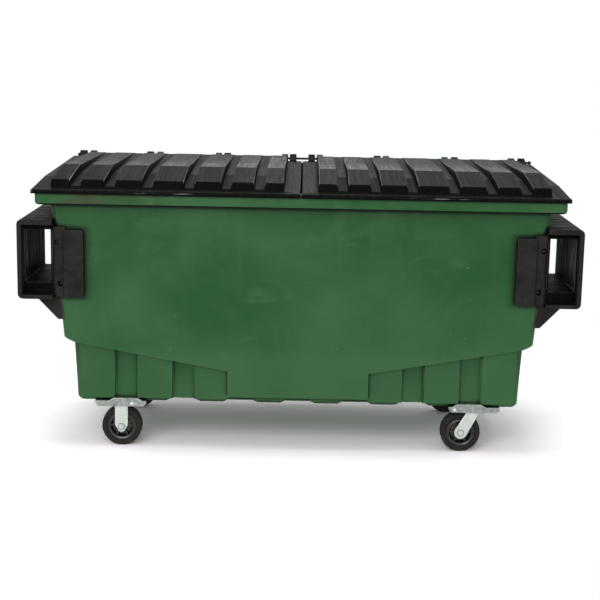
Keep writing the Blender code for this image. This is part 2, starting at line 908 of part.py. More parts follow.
def make_bracket(word, x, y):
    """A pressed tray under the tub: its pad fills a groove and its lips hide the caster's plate."""
    side = 1 if x > 0 else -1
    roof_z = skirt_bottom_z - rest_gap
    half, depth = bracket_length / 2, plate_width / 2 + bracket_side_gap + bracket_wall
    outline = [
        (x - half + bracket_bevel, bracket_low_z), (x + half - bracket_bevel, bracket_low_z),
        (x + half, bracket_low_z + bracket_bevel), (x + half, roof_z),
        (x - half, roof_z), (x - half, bracket_low_z + bracket_bevel),
    ]
    bracket = finish(f"caster_bracket_{word}", prism_along_y(outline, y - depth, y + depth), galvanised)
    middle = side * (rim_half - end_groove_inset)
    flare = (groove_bottom - groove_top) / 2 / foot_drop
    top_z = skirt_bottom_z + foot_drop - rest_gap
    top_half = groove_top / 2 - bracket_pad_gap
    root_z = roof_z - bracket_wall / 2
    root_half = top_half + flare * (top_z - root_z)
    pad = [(middle - root_half, root_z), (middle + root_half, root_z),
           (middle + top_half, top_z), (middle - top_half, top_z)]
    join(bracket, tool(f"{bracket.name}_pad", prism_along_y(pad, y - depth, y + depth)))
    hollow = box(
        (x - half - overrun, y - depth + bracket_wall, bracket_low_z - overrun),
        (x + half + overrun, y + depth - bracket_wall, plate_top_z + rest_gap),
    )
    cut(bracket, tool(f"{bracket.name}_hollow", hollow))


def plate_box(x, y):
    return box((x - plate_length / 2, y - plate_width / 2, plate_top_z - plate_thickness),
               (x + plate_length / 2, y + plate_width / 2, plate_top_z))


def leg_prisms(outline, y):
    return merged([prism_along_y(outline, low, high) for low, high in leg_faces(y)])


def make_rigid_caster(word, x, y):
    fork = finish(f"rigid_fork_{word}", plate_box(x, y), zinc_plate)
    half = leg_width / 2
    top = plate_top_z - plate_thickness / 2
    outline = (
        [(x - half, top), (x - half, axle_z + leg_shoulder)]
        + arc(x, axle_z - tip_drop, tip_radius, 200, 340, 6)
        + [(x + half, axle_z + leg_shoulder), (x + half, top)]
    )
    hole, _, _ = make_axle(word, x, y)
    join(fork, tool(f"{fork.name}_legs", leg_prisms(outline, y)))
    cut(fork, hole)
    make_wheel(word, x, y)


def make_swivel_caster(word, x, y):
    """A caster whose fork turns on a kingpin and trails towards the middle of the container."""
    axle_x = x - swivel_trail
    bottom_z = plate_top_z - plate_thickness
    race_low = crown_top_z + race_gap
    pin_hole = tool(f"kingpin_hole_{word}", cylinder(
        kingpin_radius + kingpin_clearance, (x, y, crown_top_z - overrun),
        (x, y, plate_top_z + overrun),
    ))
    plate = finish(f"swivel_plate_{word}", plate_box(x, y), zinc_plate)
    join(plate, tool(f"{plate.name}_race", cylinder(
        race_radius, (x, y, race_low), (x, y, bottom_z + plate_thickness / 2), 24,
    )))
    cut(plate, pin_hole)
    pin_top = plate_top_z - rest_gap
    crown_low = crown_top_z - crown_thickness
    fork = finish(f"swivel_fork_{word}", cylinder(
        crown_radius, (x, y, crown_low), (x, y, crown_top_z), 24,
    ), zinc_plate)
    half = leg_width / 2
    lean = math.degrees(math.atan2(crown_top_z - axle_z, swivel_trail))
    outline = (
        [(x - half, crown_top_z - crown_thickness / 2)]
        + arc(axle_x, axle_z, swivel_tip_radius, lean + 90, lean + 270, 8)
        + [(x + half, crown_top_z - crown_thickness / 2)]
    )
    join(fork, tool(f"{fork.name}_legs", leg_prisms(outline, y)))
    hole, bolt, nut = make_axle(word, axle_x, y)
    cut(fork, hole, pin_hole)
    pin = finish(f"kingpin_{word}", cylinder(
        kingpin_radius, (x, y, crown_low - kingpin_head_height / 2), (x, y, pin_top),
    ), zinc_plate)
    head_top = crown_low - rest_gap
    join(pin, tool(f"{pin.name}_head", cylinder(
        kingpin_head_radius, (x, y, head_top - kingpin_head_height), (x, y, head_top),
    )))
    swivel = hang(f"swivel_{word}_axis", (x, y, axle_z), [fork, bolt, nut, pin])
    make_wheel(word, axle_x, y)
    wheel_axis = bpy.data.objects[f"wheel_{word}_axis"]
    wheel_axis.parent = swivel
    wheel_axis.matrix_parent_inverse = swivel.matrix_world.inverted()


def build():
    bore = rod_bore()
    tub = make_tub(bore)
    make_lid("lid_left", -1, bore)
    make_lid("lid_right", 1, bore)
    make_rod()
    body_cutter = tool("body_with_clearance", body_form(body_bottom_z, body_in_rim_z, rest_gap))
    for word, side in (("left", -1), ("right", 1)):
        pocket = make_pocket(word, side, body_cutter)
        make_pocket_bolts(word, side, pocket, tub)
    for end, y in (("front", front_axle_y), ("rear", rear_axle_y)):
        make_rigid_caster(f"{end}_left", -caster_x, y)
        make_swivel_caster(f"{end}_right", caster_x, y)
        make_bracket(f"{end}_left", -caster_x, y)
        make_bracket(f"{end}_right", caster_x, y)


build()
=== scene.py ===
import json
import math

import bmesh
import bpy
from mathutils import Matrix, Vector
from mathutils.kdtree import KDTree


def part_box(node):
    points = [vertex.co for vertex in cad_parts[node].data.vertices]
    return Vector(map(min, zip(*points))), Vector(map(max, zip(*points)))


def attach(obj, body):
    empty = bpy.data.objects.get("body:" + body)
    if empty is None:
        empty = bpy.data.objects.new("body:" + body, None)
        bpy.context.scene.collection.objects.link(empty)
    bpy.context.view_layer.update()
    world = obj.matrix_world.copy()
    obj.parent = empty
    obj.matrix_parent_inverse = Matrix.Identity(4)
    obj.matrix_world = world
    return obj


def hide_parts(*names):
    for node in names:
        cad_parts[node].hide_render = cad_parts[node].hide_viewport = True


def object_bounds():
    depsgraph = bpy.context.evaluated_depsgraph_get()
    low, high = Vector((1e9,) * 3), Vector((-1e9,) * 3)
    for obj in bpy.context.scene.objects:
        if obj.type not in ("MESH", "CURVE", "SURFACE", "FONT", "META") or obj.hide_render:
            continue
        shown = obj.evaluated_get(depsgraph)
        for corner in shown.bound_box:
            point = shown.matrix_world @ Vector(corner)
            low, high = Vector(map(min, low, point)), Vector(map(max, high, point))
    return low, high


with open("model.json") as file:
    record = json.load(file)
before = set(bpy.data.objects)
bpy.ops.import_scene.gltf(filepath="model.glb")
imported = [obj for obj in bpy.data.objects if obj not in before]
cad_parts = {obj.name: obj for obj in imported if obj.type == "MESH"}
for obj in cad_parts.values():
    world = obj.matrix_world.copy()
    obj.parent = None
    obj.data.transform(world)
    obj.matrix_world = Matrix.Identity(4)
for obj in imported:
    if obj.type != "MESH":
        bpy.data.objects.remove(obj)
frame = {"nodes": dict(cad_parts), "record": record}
cadLow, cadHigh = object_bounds()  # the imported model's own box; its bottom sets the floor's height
scene = bpy.context.scene
print("frame loaded:", len(frame["nodes"]), "nodes")

# Camera: the photograph's place and angle
cameraView = {
    "place": (0.0105, -5.45175, 1.557),
    "turnLeft": 0.09,  # degrees, as the next two
    "tiltDown": 11.03,
    "roll": 1.09,
    "lens": 82.26,
    "sensor": 36.0,
    "farthest": 60,
}


def makeCamera(view):
    data = bpy.data.cameras.new("photoCamera")
    data.lens = view["lens"]
    data.sensor_width = view["sensor"]
    data.clip_end = view["farthest"]
    camera = bpy.data.objects.new("photoCamera", data)
    turn = Matrix.Rotation(math.radians(view["turnLeft"]), 4, "Z")
    tilt = Matrix.Rotation(math.radians(90 - view["tiltDown"]), 4, "X")
    roll = Matrix.Rotation(math.radians(view["roll"]), 4, "Z")
    camera.matrix_world = Matrix.Translation(view["place"]) @ turn @ tilt @ roll
    scene.collection.objects.link(camera)
    scene.camera = camera


makeCamera(cameraView)
scene.view_settings.view_transform = "Standard"
print("camera placed")


# Node helpers, shared by every material
def newMaterial(name):
    material = bpy.data.materials.new(name)
    material.use_nodes = True
    tree = material.node_tree
    return material, tree, tree.nodes["Principled BSDF"]


def addNode(tree, kind, **values):
    # a value is a setting of the node, or else the number on its socket of that name
    node = tree.nodes.new(kind)
    for key, value in values.items():
        if hasattr(node, key):
            setattr(node, key, value)
        else:
            node.inputs[key].default_value = value
    return node


def plug(tree, socket, value):
    # a number or a colour is set on the socket itself, and an output is linked to it
    if isinstance(value, (int, float)):
        socket.default_value = value
    elif isinstance(value, tuple):
        socket.default_value = (*value, 1)
    else:
        tree.links.new(value, socket)


def parts(tree, vector):
    node = addNode(tree, "ShaderNodeSeparateXYZ")
    tree.links.new(vector, node.inputs["Vector"])
    return node.outputs["X"], node.outputs["Y"], node.outputs["Z"]


def objectPlace(tree, stretch=(1, 1, 1), shift=(0, 0, 0)):
    place = addNode(tree, "ShaderNodeTexCoord")
    mapping = addNode(tree, "ShaderNodeMapping", Scale=stretch, Location=shift)
    tree.links.new(place.outputs["Object"], mapping.inputs["Vector"])
    return mapping.outputs["Vector"]


def directions(tree):
    # a surface point's place, and the way that it faces, both in the object's own frame
    where = dict(zip("xyz", parts(tree, objectPlace(tree))))
    coordinates = addNode(tree, "ShaderNodeTexCoord")
    where.update(zip(("turnX", "turnY", "turnZ"), parts(tree, coordinates.outputs["Normal"])))
    where["sideways"] = absolute(tree, where["x"])
    where["turnAside"] = absolute(tree, where["turnX"])
    return where


def maths(tree, operation, first, second=0):
    node = addNode(tree, "ShaderNodeMath", operation=operation)
    for socket, value in zip(node.inputs, (first, second)):
        plug(tree, socket, value)
    return node.outputs["Value"]


def chain(tree, operation, values):
    result = values[0]
    for value in values[1:]:
        result = maths(tree, operation, result, value)
    return result


def times(tree, *values):
    return chain(tree, "MULTIPLY", values)


def largest(tree, *values):
    return chain(tree, "MAXIMUM", values)


def absolute(tree, value):
    return maths(tree, "ABSOLUTE", value)


def distance(tree, across, up):
    return maths(tree, "SQRT", maths(tree, "ADD", times(tree, across, across), times(tree, up, up)))


def mask(tree, value, low, high):
    # 0 at low and 1 at high, whichever of them is the larger
    node = addNode(tree, "ShaderNodeMapRange", interpolation_type="SMOOTHSTEP")
    for name, put in (("From Min", low), ("From Max", high), ("Value", value)):
        plug(tree, node.inputs[name], put)
    return node.outputs["Result"]


def band(tree, value, low, high, soft):
    # 1 between low and high, fading to 0 over soft on both sides
    rise = mask(tree, value, low - soft, low + soft)
    fall = mask(tree, value, high - soft, high + soft)
    return maths(tree, "SUBTRACT", rise, fall)


def limits(tree, where, rows):
    # a row names a direction with a mask's two numbers or a band's three, and may stand by itself;
    # a number among the rows is how strong the whole region is
    if isinstance(rows[0], str):
        rows = (rows,)
    shapes = []
    for row in rows:
        if isinstance(row, float):
            shapes.append(row)
        else:
            shape = mask if len(row) == 3 else band
            shapes.append(shape(tree, where[row[0]], *row[1:]))
    return shapes


def regionFinder(tree, where, look):
    # gives the function that makes the region which the settings hold under a name: 1 where all its rows hold
    def region(name):
        return times(tree, *limits(tree, where, look[name]))
    return region


def pattern(tree, stretch=(1, 1, 1), shift=(0, 0, 0), scale=1, detail=4, roughness=0.55, distortion=0,
            between=None, amount=None):
    # noise on the object's own coordinates, cut between two levels and weakened where these are given
    node = addNode(tree, "ShaderNodeTexNoise", Scale=scale, Detail=detail, Roughness=roughness,
                   Distortion=distortion)
    tree.links.new(objectPlace(tree, stretch, shift), node.inputs["Vector"])
    result = node.outputs["Fac"]
    if between:
        result = mask(tree, result, *between)
    if amount:
        result = times(tree, result, amount)
    return result


def twoTone(tree, value, levels, colours):
    node = addNode(tree, "ShaderNodeValToRGB")
    for point, level, colour in zip(node.color_ramp.elements, levels, colours):
        point.position = level
        point.color = (*colour, 1)
    tree.links.new(value, node.inputs["Fac"])
    return node.outputs["Color"]


def mixColour(tree, factor, first, second, blend="MIX"):
    node = addNode(tree, "ShaderNodeMix", data_type="RGBA", blend_type=blend)
    for number, value in ((0, factor), (6, first), (7, second)):
        plug(tree, node.inputs[number], value)
    return node.outputs[2]


def mixNumber(tree, factor, first, second):
    node = addNode(tree, "ShaderNodeMix", data_type="FLOAT")
    for number, value in ((0, factor), (2, first), (3, second)):
        plug(tree, node.inputs[number], value)
    return node.outputs[0]


def paintCreviceShade(tree, colour, crevices):
    # painted shade: corners and places under overhangs go towards the first of the shades
    node = addNode(tree, "ShaderNodeAmbientOcclusion", samples=8, Distance=crevices["reach"])
    openness = mask(tree, node.outputs["AO"], *crevices["levels"])
    return mixColour(tree, 1.0, colour, mixNumber(tree, openness, *crevices["shades"]), "MULTIPLY")


def litAndWornEdges(tree, edgeLightAndWear):
    # painted highlight on outer edges, where the inside is thinner than the reach, partly worn and broken
    # into patches
    node = addNode(tree, "ShaderNodeAmbientOcclusion", samples=8, inside=True, only_local=True,
                   Distance=edgeLightAndWear["reach"])
    edges = mask(tree, node.outputs["AO"], *edgeLightAndWear["levels"])
    return times(tree, edges, pattern(tree, **edgeLightAndWear["patches"]), edgeLightAndWear["amount"])


def bump(tree, shader, height, relief):
    strength, depth = relief
    node = addNode(tree, "ShaderNodeBump", Strength=strength, Distance=depth)
    tree.links.new(height, node.inputs["Height"])
    tree.links.new(node.outputs["Normal"], shader.inputs["Normal"])


def coat(tree, shader, colour, rough, shine, height, relief):
    tree.links.new(colour, shader.inputs["Base Color"])
    tree.links.new(rough, shader.inputs["Roughness"])
    shader.inputs["Specular IOR Level"].default_value = shine
    bump(tree, shader, height, relief)


# Green tub plastic: hazy, slightly waxy, with specks and a rubbed stain on the front rim; painted highlights
# on the front corners, the rim's top and the outer edges, and painted shade in crevices, under the rim, on
# the lugs, in the lids' gap, in the grooves between the feet and beside the flanges.
# Lengths are metres in the imported model's frame, and a region is written as limits() reads it.
greenTub = {
    "deep": (0.0185, 0.107, 0.0280),
    "faded": (0.0480, 0.151, 0.0560),
    # pale patches, and the colour of the painted highlight on the front corners
    "rubbedAndSheen": (0.0600, 0.166, 0.0680),
    "speck": (0.34, 0.46, 0.34),
    "stain": (0.071, 0.060, 0.035),
    # painted highlight on the rim's top edge and on the outer edges, which are partly worn
    "edge": (0.115, 0.250, 0.125),
    "paintedShade": (0.004, 0.006, 0.004),  # painted shade on the lugs, under the rim, in the lids' gap, in the grooves between the feet and beside the flanges
    "haze": {"scale": 1.9, "detail": 6, "distortion": 0.5},
    "hazeLevels": (0.36, 0.60),
    "blotches": {"stretch": (1, 1, 1.6), "shift": (3, 1, 2), "scale": 5.5, "detail": 5, "roughness": 0.62,
                 "distortion": 0.8, "between": (0.54, 0.72), "amount": 0.55},
    "streaks": {"stretch": (26, 26, 1.2), "detail": 3, "between": (0.55, 0.8), "amount": 0.22},
    # painted highlight down the front corners below the rim
    "cornerHighlight": (("turnAside", 0.05, 0.24, 0.04), ("z", 0.80, 0.86), ("turnY", -0.8, -0.9), 0.8),
    # paler towards the bottom
    "paleFoot": (("z", 0.42, 0.34), 0.6),
    "rimFace": (("z", 0.932, 0.978, 0.006), ("y", -0.505, -0.513)),
    # painted highlight along the rim's top edge
    "rimTop": (("z", 0.9705, 0.9775, 0.0012), ("y", -0.505, -0.513), 0.5),
    "stainStrong": ("x", -0.865, -0.745, 0.05),  # at the left end of the rim
    "stainWeak": (("x", -0.745, -0.54, 0.08), 0.4),
    "stainSpot": (("x", -0.54, -0.505, 0.012), 0.45),
    "smudges": {"stretch": (7, 7, 22), "roughness": 0.6, "distortion": 0.6, "between": (0.38, 0.62)},
    "stainAmount": 0.95,
    "specks": {"stretch": (1, 1, 0.8), "scale": 95, "detail": 1, "roughness": 0.4, "between": (0.82, 0.85),
               "amount": 0.6},
    # painted highlight on the outer edges, partly worn, in patches
    "edgeLightAndWear": {"reach": 0.0045, "levels": (0.82, 0.35), "amount": 0.6,
             "patches": {"scale": 14, "detail": 3, "between": (0.25, 0.5)}},
    # painted shade in corners and under overhangs
    "crevices": {"reach": 0.020, "levels": (0.46, 0.92), "shades": (0.07, 1.02)},
    # painted shade on the lugs
    "lugs": (("y", 0.478, 0.482), ("z", 0.990, 0.995)),
    "endLugs": ("sideways", 0.78, 0.80),  # painted shade makes these black, and the others less dark
    "otherLugs": 0.55,
    # painted shadow under the rim, fading down the wall, and painted shade on the rim's top in the lids' gap
    # and beside the pockets' flanges
    "underRim": (("outward", 0.0, 0.05), ("z", 0.908, 0.931), ("z", 0.9345, 0.9325)),
    "wallUnderRim": (("outward", 0.0, 0.05), ("z", 0.860, 0.925), ("z", 0.9345, 0.9325), 0.22),
    "underGap": (("sideways", 0.013, 0.009), ("z", 0.967, 0.970)),
    "roundFlanges": (("sideways", 0.755, 0.797), ("z", 0.572, 0.846, 0.010), ("y", -0.40, -0.42), 0.55),
    "grooveSpacing": 0.216,  # the grooves between the feet
    "grooveSides": (0.050, 0.046),
    # painted shadow in the grooves between the feet
    "grooves": (("z", 0.1970, 0.2040, 0.0012), ("outward", 0.2, 0.3), 0.8),
    "dullLevels": (0.3, 0.7),
    "roughness": (0.40, 0.58),
    "shine": 0.2,
    "peel": {"scale": 420, "detail": 2, "amount": 0.12},
    "waves": {"scale": 9, "detail": 2},
    "relief": (0.35, 0.0016),  # strength and depth
}


def greenPlastic(look):
    material, tree, shader = newMaterial("greenPlastic")
    where = directions(tree)
    where["outward"] = maths(tree, "ADD", times(tree, where["x"], where["turnX"]),
                             times(tree, where["y"], where["turnY"]))
    region = regionFinder(tree, where, look)
    haze = pattern(tree, **look["haze"])
    colour = twoTone(tree, haze, look["hazeLevels"], (look["deep"], look["faded"]))
    for name in ("blotches", "streaks"):
        colour = mixColour(tree, pattern(tree, **look[name]), colour, look["rubbedAndSheen"])
    # painted highlight on the front corners, and paler towards the bottom
    paler = largest(tree, region("paleFoot"), region("cornerHighlight"))
    colour = mixColour(tree, paler, colour, look["rubbedAndSheen"])
    weaker = maths(tree, "ADD", region("stainWeak"), region("stainSpot"))
    along = maths(tree, "ADD", region("stainStrong"), weaker)
    stain = times(tree, region("rimFace"), along, pattern(tree, **look["smudges"]), look["stainAmount"])
    colour = mixColour(tree, stain, colour, look["stain"])
    # painted highlight along the rim's top edge
    colour = mixColour(tree, region("rimTop"), colour, look["edge"])
    colour = mixColour(tree, pattern(tree, **look["specks"]), colour, look["speck"])
    # painted highlight on the outer edges, partly worn
    colour = mixColour(tree, litAndWornEdges(tree, look["edgeLightAndWear"]), colour, look["edge"])
    colour = paintCreviceShade(tree, colour, look["crevices"])
    # painted shade on the lugs, the end ones darkest
    lugs = times(tree, region("lugs"), mixNumber(tree, region("endLugs"), look["otherLugs"], 1.0))
    # painted shadow in the grooves between the feet: one groove is in the middle, and one on each side of it
    beside = absolute(tree, maths(tree, "SUBTRACT", where["sideways"], look["grooveSpacing"]))
    inGroove = mask(tree, maths(tree, "MINIMUM", where["sideways"], beside), *look["grooveSides"])
    grooves = times(tree, inGroove, *limits(tree, where, look["grooves"]))
    # painted shadow under the rim and in the lids' gap, and painted shade beside the flanges
    shadowed = [region(name) for name in ("underRim", "underGap", "wallUnderRim", "roundFlanges")]
    colour = mixColour(tree, largest(tree, lugs, grooves, *shadowed), colour, look["paintedShade"])
    dull = mixNumber(tree, mask(tree, haze, *look["dullLevels"]), *look["roughness"])
    height = maths(tree, "ADD", pattern(tree, **look["peel"]), pattern(tree, **look["waves"]))
    coat(tree, shader, colour, dull, look["shine"], height, look["relief"])
    return material


# Lid plastic: black, with a lengthwise grain; a painted sheen on what faces up, most behind the bend, painted
# highlights on the rib sides' top edges, and painted shade on the steep faces, in the grooves and at the
# ribs' feet
lidSkin = {
    "black": (0.0016, 0.0016, 0.0015),
    # tops in front of the bend: painted darker than behind it, with more painted sheen by the middle and less
    # at the left end
    "frontTop": (0.0110, 0.0110, 0.0105),
    "frontMiddle": (0.0260, 0.0257, 0.0246),
    "frontLeft": (0.0090, 0.0090, 0.0086),
    # painted highlight in ripples across the ribs by the middle
    "rippleHighlight": (0.2100, 0.2060, 0.1970),
    "strip": (0.0290, 0.0286, 0.0272),
    # painted sheen behind the bend, palest at its crest
    "crest": (0.1320, 0.1310, 0.1250),
    "rearTop": (0.0460, 0.0458, 0.0438),
    # painted shade in the grooves
    "groove": (0.0085, 0.0085, 0.0081),
    "lip": (0.0068, 0.0068, 0.0066),
    "under": ((0.0085, 0.0085, 0.0082), (0.0200, 0.0200, 0.0190)),
    # painted highlight on the rib sides' top edges
    "ribEdgeHighlight": (0.1900, 0.1880, 0.1800),
    "scuff": (0.30, 0.30, 0.285),
    "grain": {"stretch": (330, 4, 40), "detail": 3, "roughness": 0.6},
    "coarse": {"stretch": (75, 1.6, 12), "roughness": 0.6},
    "cloud": {"scale": 7, "detail": 5, "roughness": 0.6, "distortion": 0.5},
    # what doesn't face up gets painted shade, down to black
    "facingUp": ("turnZ", 0.90, 0.985),
    "facingDown": ("turnZ", -0.3, -0.7),
    "underLevels": (0.35, 0.65),
    "leftEnd": ("x", -0.98, -0.30),  # the left end gets less painted sheen
    "leftSheen": 0.35,
    "nearMiddle": ("sideways", 0.30, 0.12),
    "bendAt": -0.2448,
    "behindBend": ("fromBend", -0.001, 0.001),
    "sheenUneven": 0.45,
    "sheenFade": (0.62, 0.20),  # how far behind the bend it ends, and where it is full
    "ripples": {"stretch": (5, 58, 5), "detail": 2, "roughness": 0.5, "between": (0.46, 0.64)},
    "rippleAmount": 0.6,
    "rimSlope": (0.51475, 0.0283),  # the rim's front end, and its rise per metre
    "bendSlopes": (-0.089, 0.0234),  # the grooves' fall to the front of the bend and behind it
    "grooveLevel": 1.028,
    "belowRibs": ("aboveGroove", 0.001, -0.001),
    "middleStrip": ("sideways", 0.068, 0.064),  # the flat strips beside the middle gap
    "grooveAmount": (0.85, 0.75),  # in front of the bend and behind it
    # painted shadow at the ribs' feet by the bend
    "ribFoot": (("fromBend", -0.014, 0.002, 0.003), 0.7),
    "ribSides": (("turnAside", 0.25, 0.5), ("turnZ", 0.25, 0.5), ("aboveGroove", 0.001, 0.005),
                 ("coarse", 0.3, 0.55), 0.85),
    "onLip": (("y", -0.508, -0.514), ("z", 0.972, 0.978)),
    "grainLevels": (0.36, 0.66),
    "grainShades": (0.5, 1.5),
    "coarseLevels": (0.34, 0.68),
    "coarseShades": (0.62, 1.45),
    "scratches": {"stretch": (13, 200, 420), "shift": (0, 0, 5), "detail": 3, "roughness": 0.6,
                  "between": (0.50, 0.66)},
    "scuffs": (("x", -0.635, -0.405, 0.03), ("x", 0.385, 0.595, 0.03)),
    "scuffEdge": (("y", -0.515, -0.521), ("z", 0.9755, 0.9790, 0.0008)),
    "scuffAmount": 0.9,
    "cornerMark": (("x", -0.972, -0.977), ("y", -0.512, -0.520), ("z", 0.974, 0.979), 0.8),
    "knuckles": ("y", 0.472, 0.478),
    # painted shade in corners and under overhangs
    "crevices": {"reach": 0.018, "levels": (0.25, 0.95), "shades": (0.12, 1.03)},
    "roughLevels": (0.3, 0.7),
    "roughness": (0.5, 0.7),
    "shine": 0.05,
    "grainHeight": 0.4,
    "relief": (0.35, 0.0008),
}


def lidPlastic(look):
    material, tree, shader = newMaterial("lidPlastic")
    where = directions(tree)
    grain, coarse, cloud = (pattern(tree, **look[name]) for name in ("grain", "coarse", "cloud"))
    fromBend = maths(tree, "SUBTRACT", where["y"], look["bendAt"])
    # height over the sloping rim tells a rib's top from the groove beside it
    rimFront, rise = look["rimSlope"]
    overRim = maths(tree, "SUBTRACT", where["z"], times(tree, maths(tree, "ADD", where["y"], rimFront), rise))
    fall = largest(tree, *(times(tree, fromBend, slope) for slope in look["bendSlopes"]))
    aboveGroove = maths(tree, "SUBTRACT", maths(tree, "ADD", overRim, fall), look["grooveLevel"])
    where.update(fromBend=fromBend, aboveGroove=aboveGroove, coarse=coarse)
    region = regionFinder(tree, where, look)
    behind, lit, nearMiddle, strip = map(region, ("behindBend", "leftEnd", "nearMiddle", "middleStrip"))
    # rear of the bend: a painted sheen, palest at the crest and fading rearwards, with painted highlights in
    # ripples on the ribs by the middle
    uneven = maths(tree, "ADD", fromBend, times(tree, cloud, look["sheenUneven"]))
    paintedSheen = times(tree, mask(tree, uneven, *look["sheenFade"]), mixNumber(tree, lit, look["leftSheen"], 1.0))
    rear = mixColour(tree, paintedSheen, look["rearTop"], look["crest"])
    # painted highlight in ripples on the ribs by the middle
    ripples = times(tree, pattern(tree, **look["ripples"]), nearMiddle, look["rippleAmount"])
    rear = mixColour(tree, ripples, rear, look["rippleHighlight"])
    # in front of the bend: darker tops, with more painted sheen by the middle and less at the left end
    front = mixColour(tree, lit, look["frontLeft"], look["frontTop"])
    front = mixColour(tree, nearMiddle, front, look["frontMiddle"])
    colour = mixColour(tree, behind, front, rear)
    # painted shade in the grooves, but not on the flat strips by the middle
    inGroove = times(tree, region("belowRibs"), maths(tree, "SUBTRACT", 1, strip))
    grooved = times(tree, inGroove, mixNumber(tree, behind, *look["grooveAmount"]))
    colour = mixColour(tree, grooved, colour, look["groove"])
    # painted shadow at the ribs' feet
    ribFoot = times(tree, inGroove, *limits(tree, where, look["ribFoot"]))
    colour = mixColour(tree, ribFoot, colour, look["black"])
    colour = mixColour(tree, strip, colour, look["strip"])
    # painted shade: what doesn't face up goes black
    colour = mixColour(tree, region("facingUp"), look["black"], colour)
    under = mixColour(tree, mask(tree, cloud, *look["underLevels"]), *look["under"])
    colour = mixColour(tree, region("facingDown"), colour, under)
    # painted highlight on the rib sides' top edges
    colour = mixColour(tree, region("ribSides"), colour, look["ribEdgeHighlight"])
    colour = mixColour(tree, region("onLip"), colour, look["lip"])
    fine = mixNumber(tree, mask(tree, grain, *look["grainLevels"]), *look["grainShades"])
    broad = mixNumber(tree, mask(tree, coarse, *look["coarseLevels"]), *look["coarseShades"])
    colour = mixColour(tree, 1.0, colour, times(tree, fine, broad), "MULTIPLY")
    scratches = pattern(tree, **look["scratches"])
    for span in look["scuffs"]:
        onEdge = limits(tree, where, (span, *look["scuffEdge"]))
        scuffed = times(tree, *onEdge, scratches, look["scuffAmount"])
        colour = mixColour(tree, scuffed, colour, look["scuff"])
    colour = mixColour(tree, region("cornerMark"), colour, look["scuff"])
    colour = mixColour(tree, region("knuckles"), colour, look["black"])
    colour = paintCreviceShade(tree, colour, look["crevices"])
    rough = mixNumber(tree, mask(tree, coarse, *look["roughLevels"]), *look["roughness"])
    height = maths(tree, "ADD", times(tree, grain, look["grainHeight"]), coarse)
    coat(tree, shader, colour, rough, look["shine"], height, look["relief"])
    return material


# Pocket plastic: warm black, with painted light inside the channel, where it falls in through the open far
# end, painted highlights on its edge lines and the outer edges, and painted shade in the mouth, on the low
# floor and in the roof's grooves
pocketSkin = {
    "dark": (0.0205, 0.0192, 0.0180),
    "light": (0.0390, 0.0360, 0.0333),
    "top": (0.0230, 0.0215, 0.0195),
    # painted shade in the roof's grooves, on the channel's floor and in its mouth
    "black": (0.0030, 0.0030, 0.0028),
    # painted highlight on the outer edges, partly worn
    "edge": (0.1300, 0.1250, 0.1180),
    # painted light inside the channel, and painted highlight lines at its floor and mouth
    "channelLight": (0.30, 0.30, 0.29),
    "cloud": {"scale": 14, "detail": 5, "roughness": 0.6, "distortion": 0.4},
    "cloudLevels": (0.35, 0.62),
    "facingUp": ("turnZ", 0.5, 0.95),
    "topAmount": 0.8,
    # painted shade in the roof's grooves and on upward faces low down
    "roofGrooves": ("z", 0.860, 0.8722, 0.0008),
    "belowRoof": ("z", 0.70, 0.66),
    "channelWalls": (("turnAside", 0.8, 0.97), ("sideways", 0.90, 1.016, 0.004), ("z", 0.64, 0.832, 0.004)),
    "streaks": {"stretch": (60, 34, 3), "detail": 5, "roughness": 0.62, "distortion": 0.7,
                "between": (0.46, 0.60)},
    # where the painted light lies on the channel walls
    "litDepth": ("y", -0.45, -0.05, 0.03),
    "litHeight": ("z", 0.66, 0.73),
    "litAmount": 0.8,
    # painted shadow in the mouth
    "mouth": (("sideways", 0.90, 1.016, 0.004), ("y", -0.520, -0.475, 0.001)),
    # painted highlight lines at the channel's floor and at the back of its mouth
    "floorLine": (("z", 0.6435, 0.6415), ("y", -0.475, -0.470)),
    "mouthLine": (("y", -0.475, -0.467, 0.002), 0.6),
    "edgeLightAndWear": {"reach": 0.0045, "levels": (0.82, 0.35), "amount": 0.5,
             "patches": {"scale": 20, "detail": 3, "between": (0.3, 0.5)}},
    # painted shade in corners and under overhangs
    "crevices": {"reach": 0.020, "levels": (0.2, 0.95), "shades": (0.12, 1.05)},
    "roughLevels": (0.3, 0.7),
    "roughness": (0.5, 0.68),
    "shine": 0.04,
    "grain": {"scale": 520, "detail": 2, "amount": 0.25},
    "waves": {"scale": 22, "detail": 3},
    "relief": (0.35, 0.0009),
}


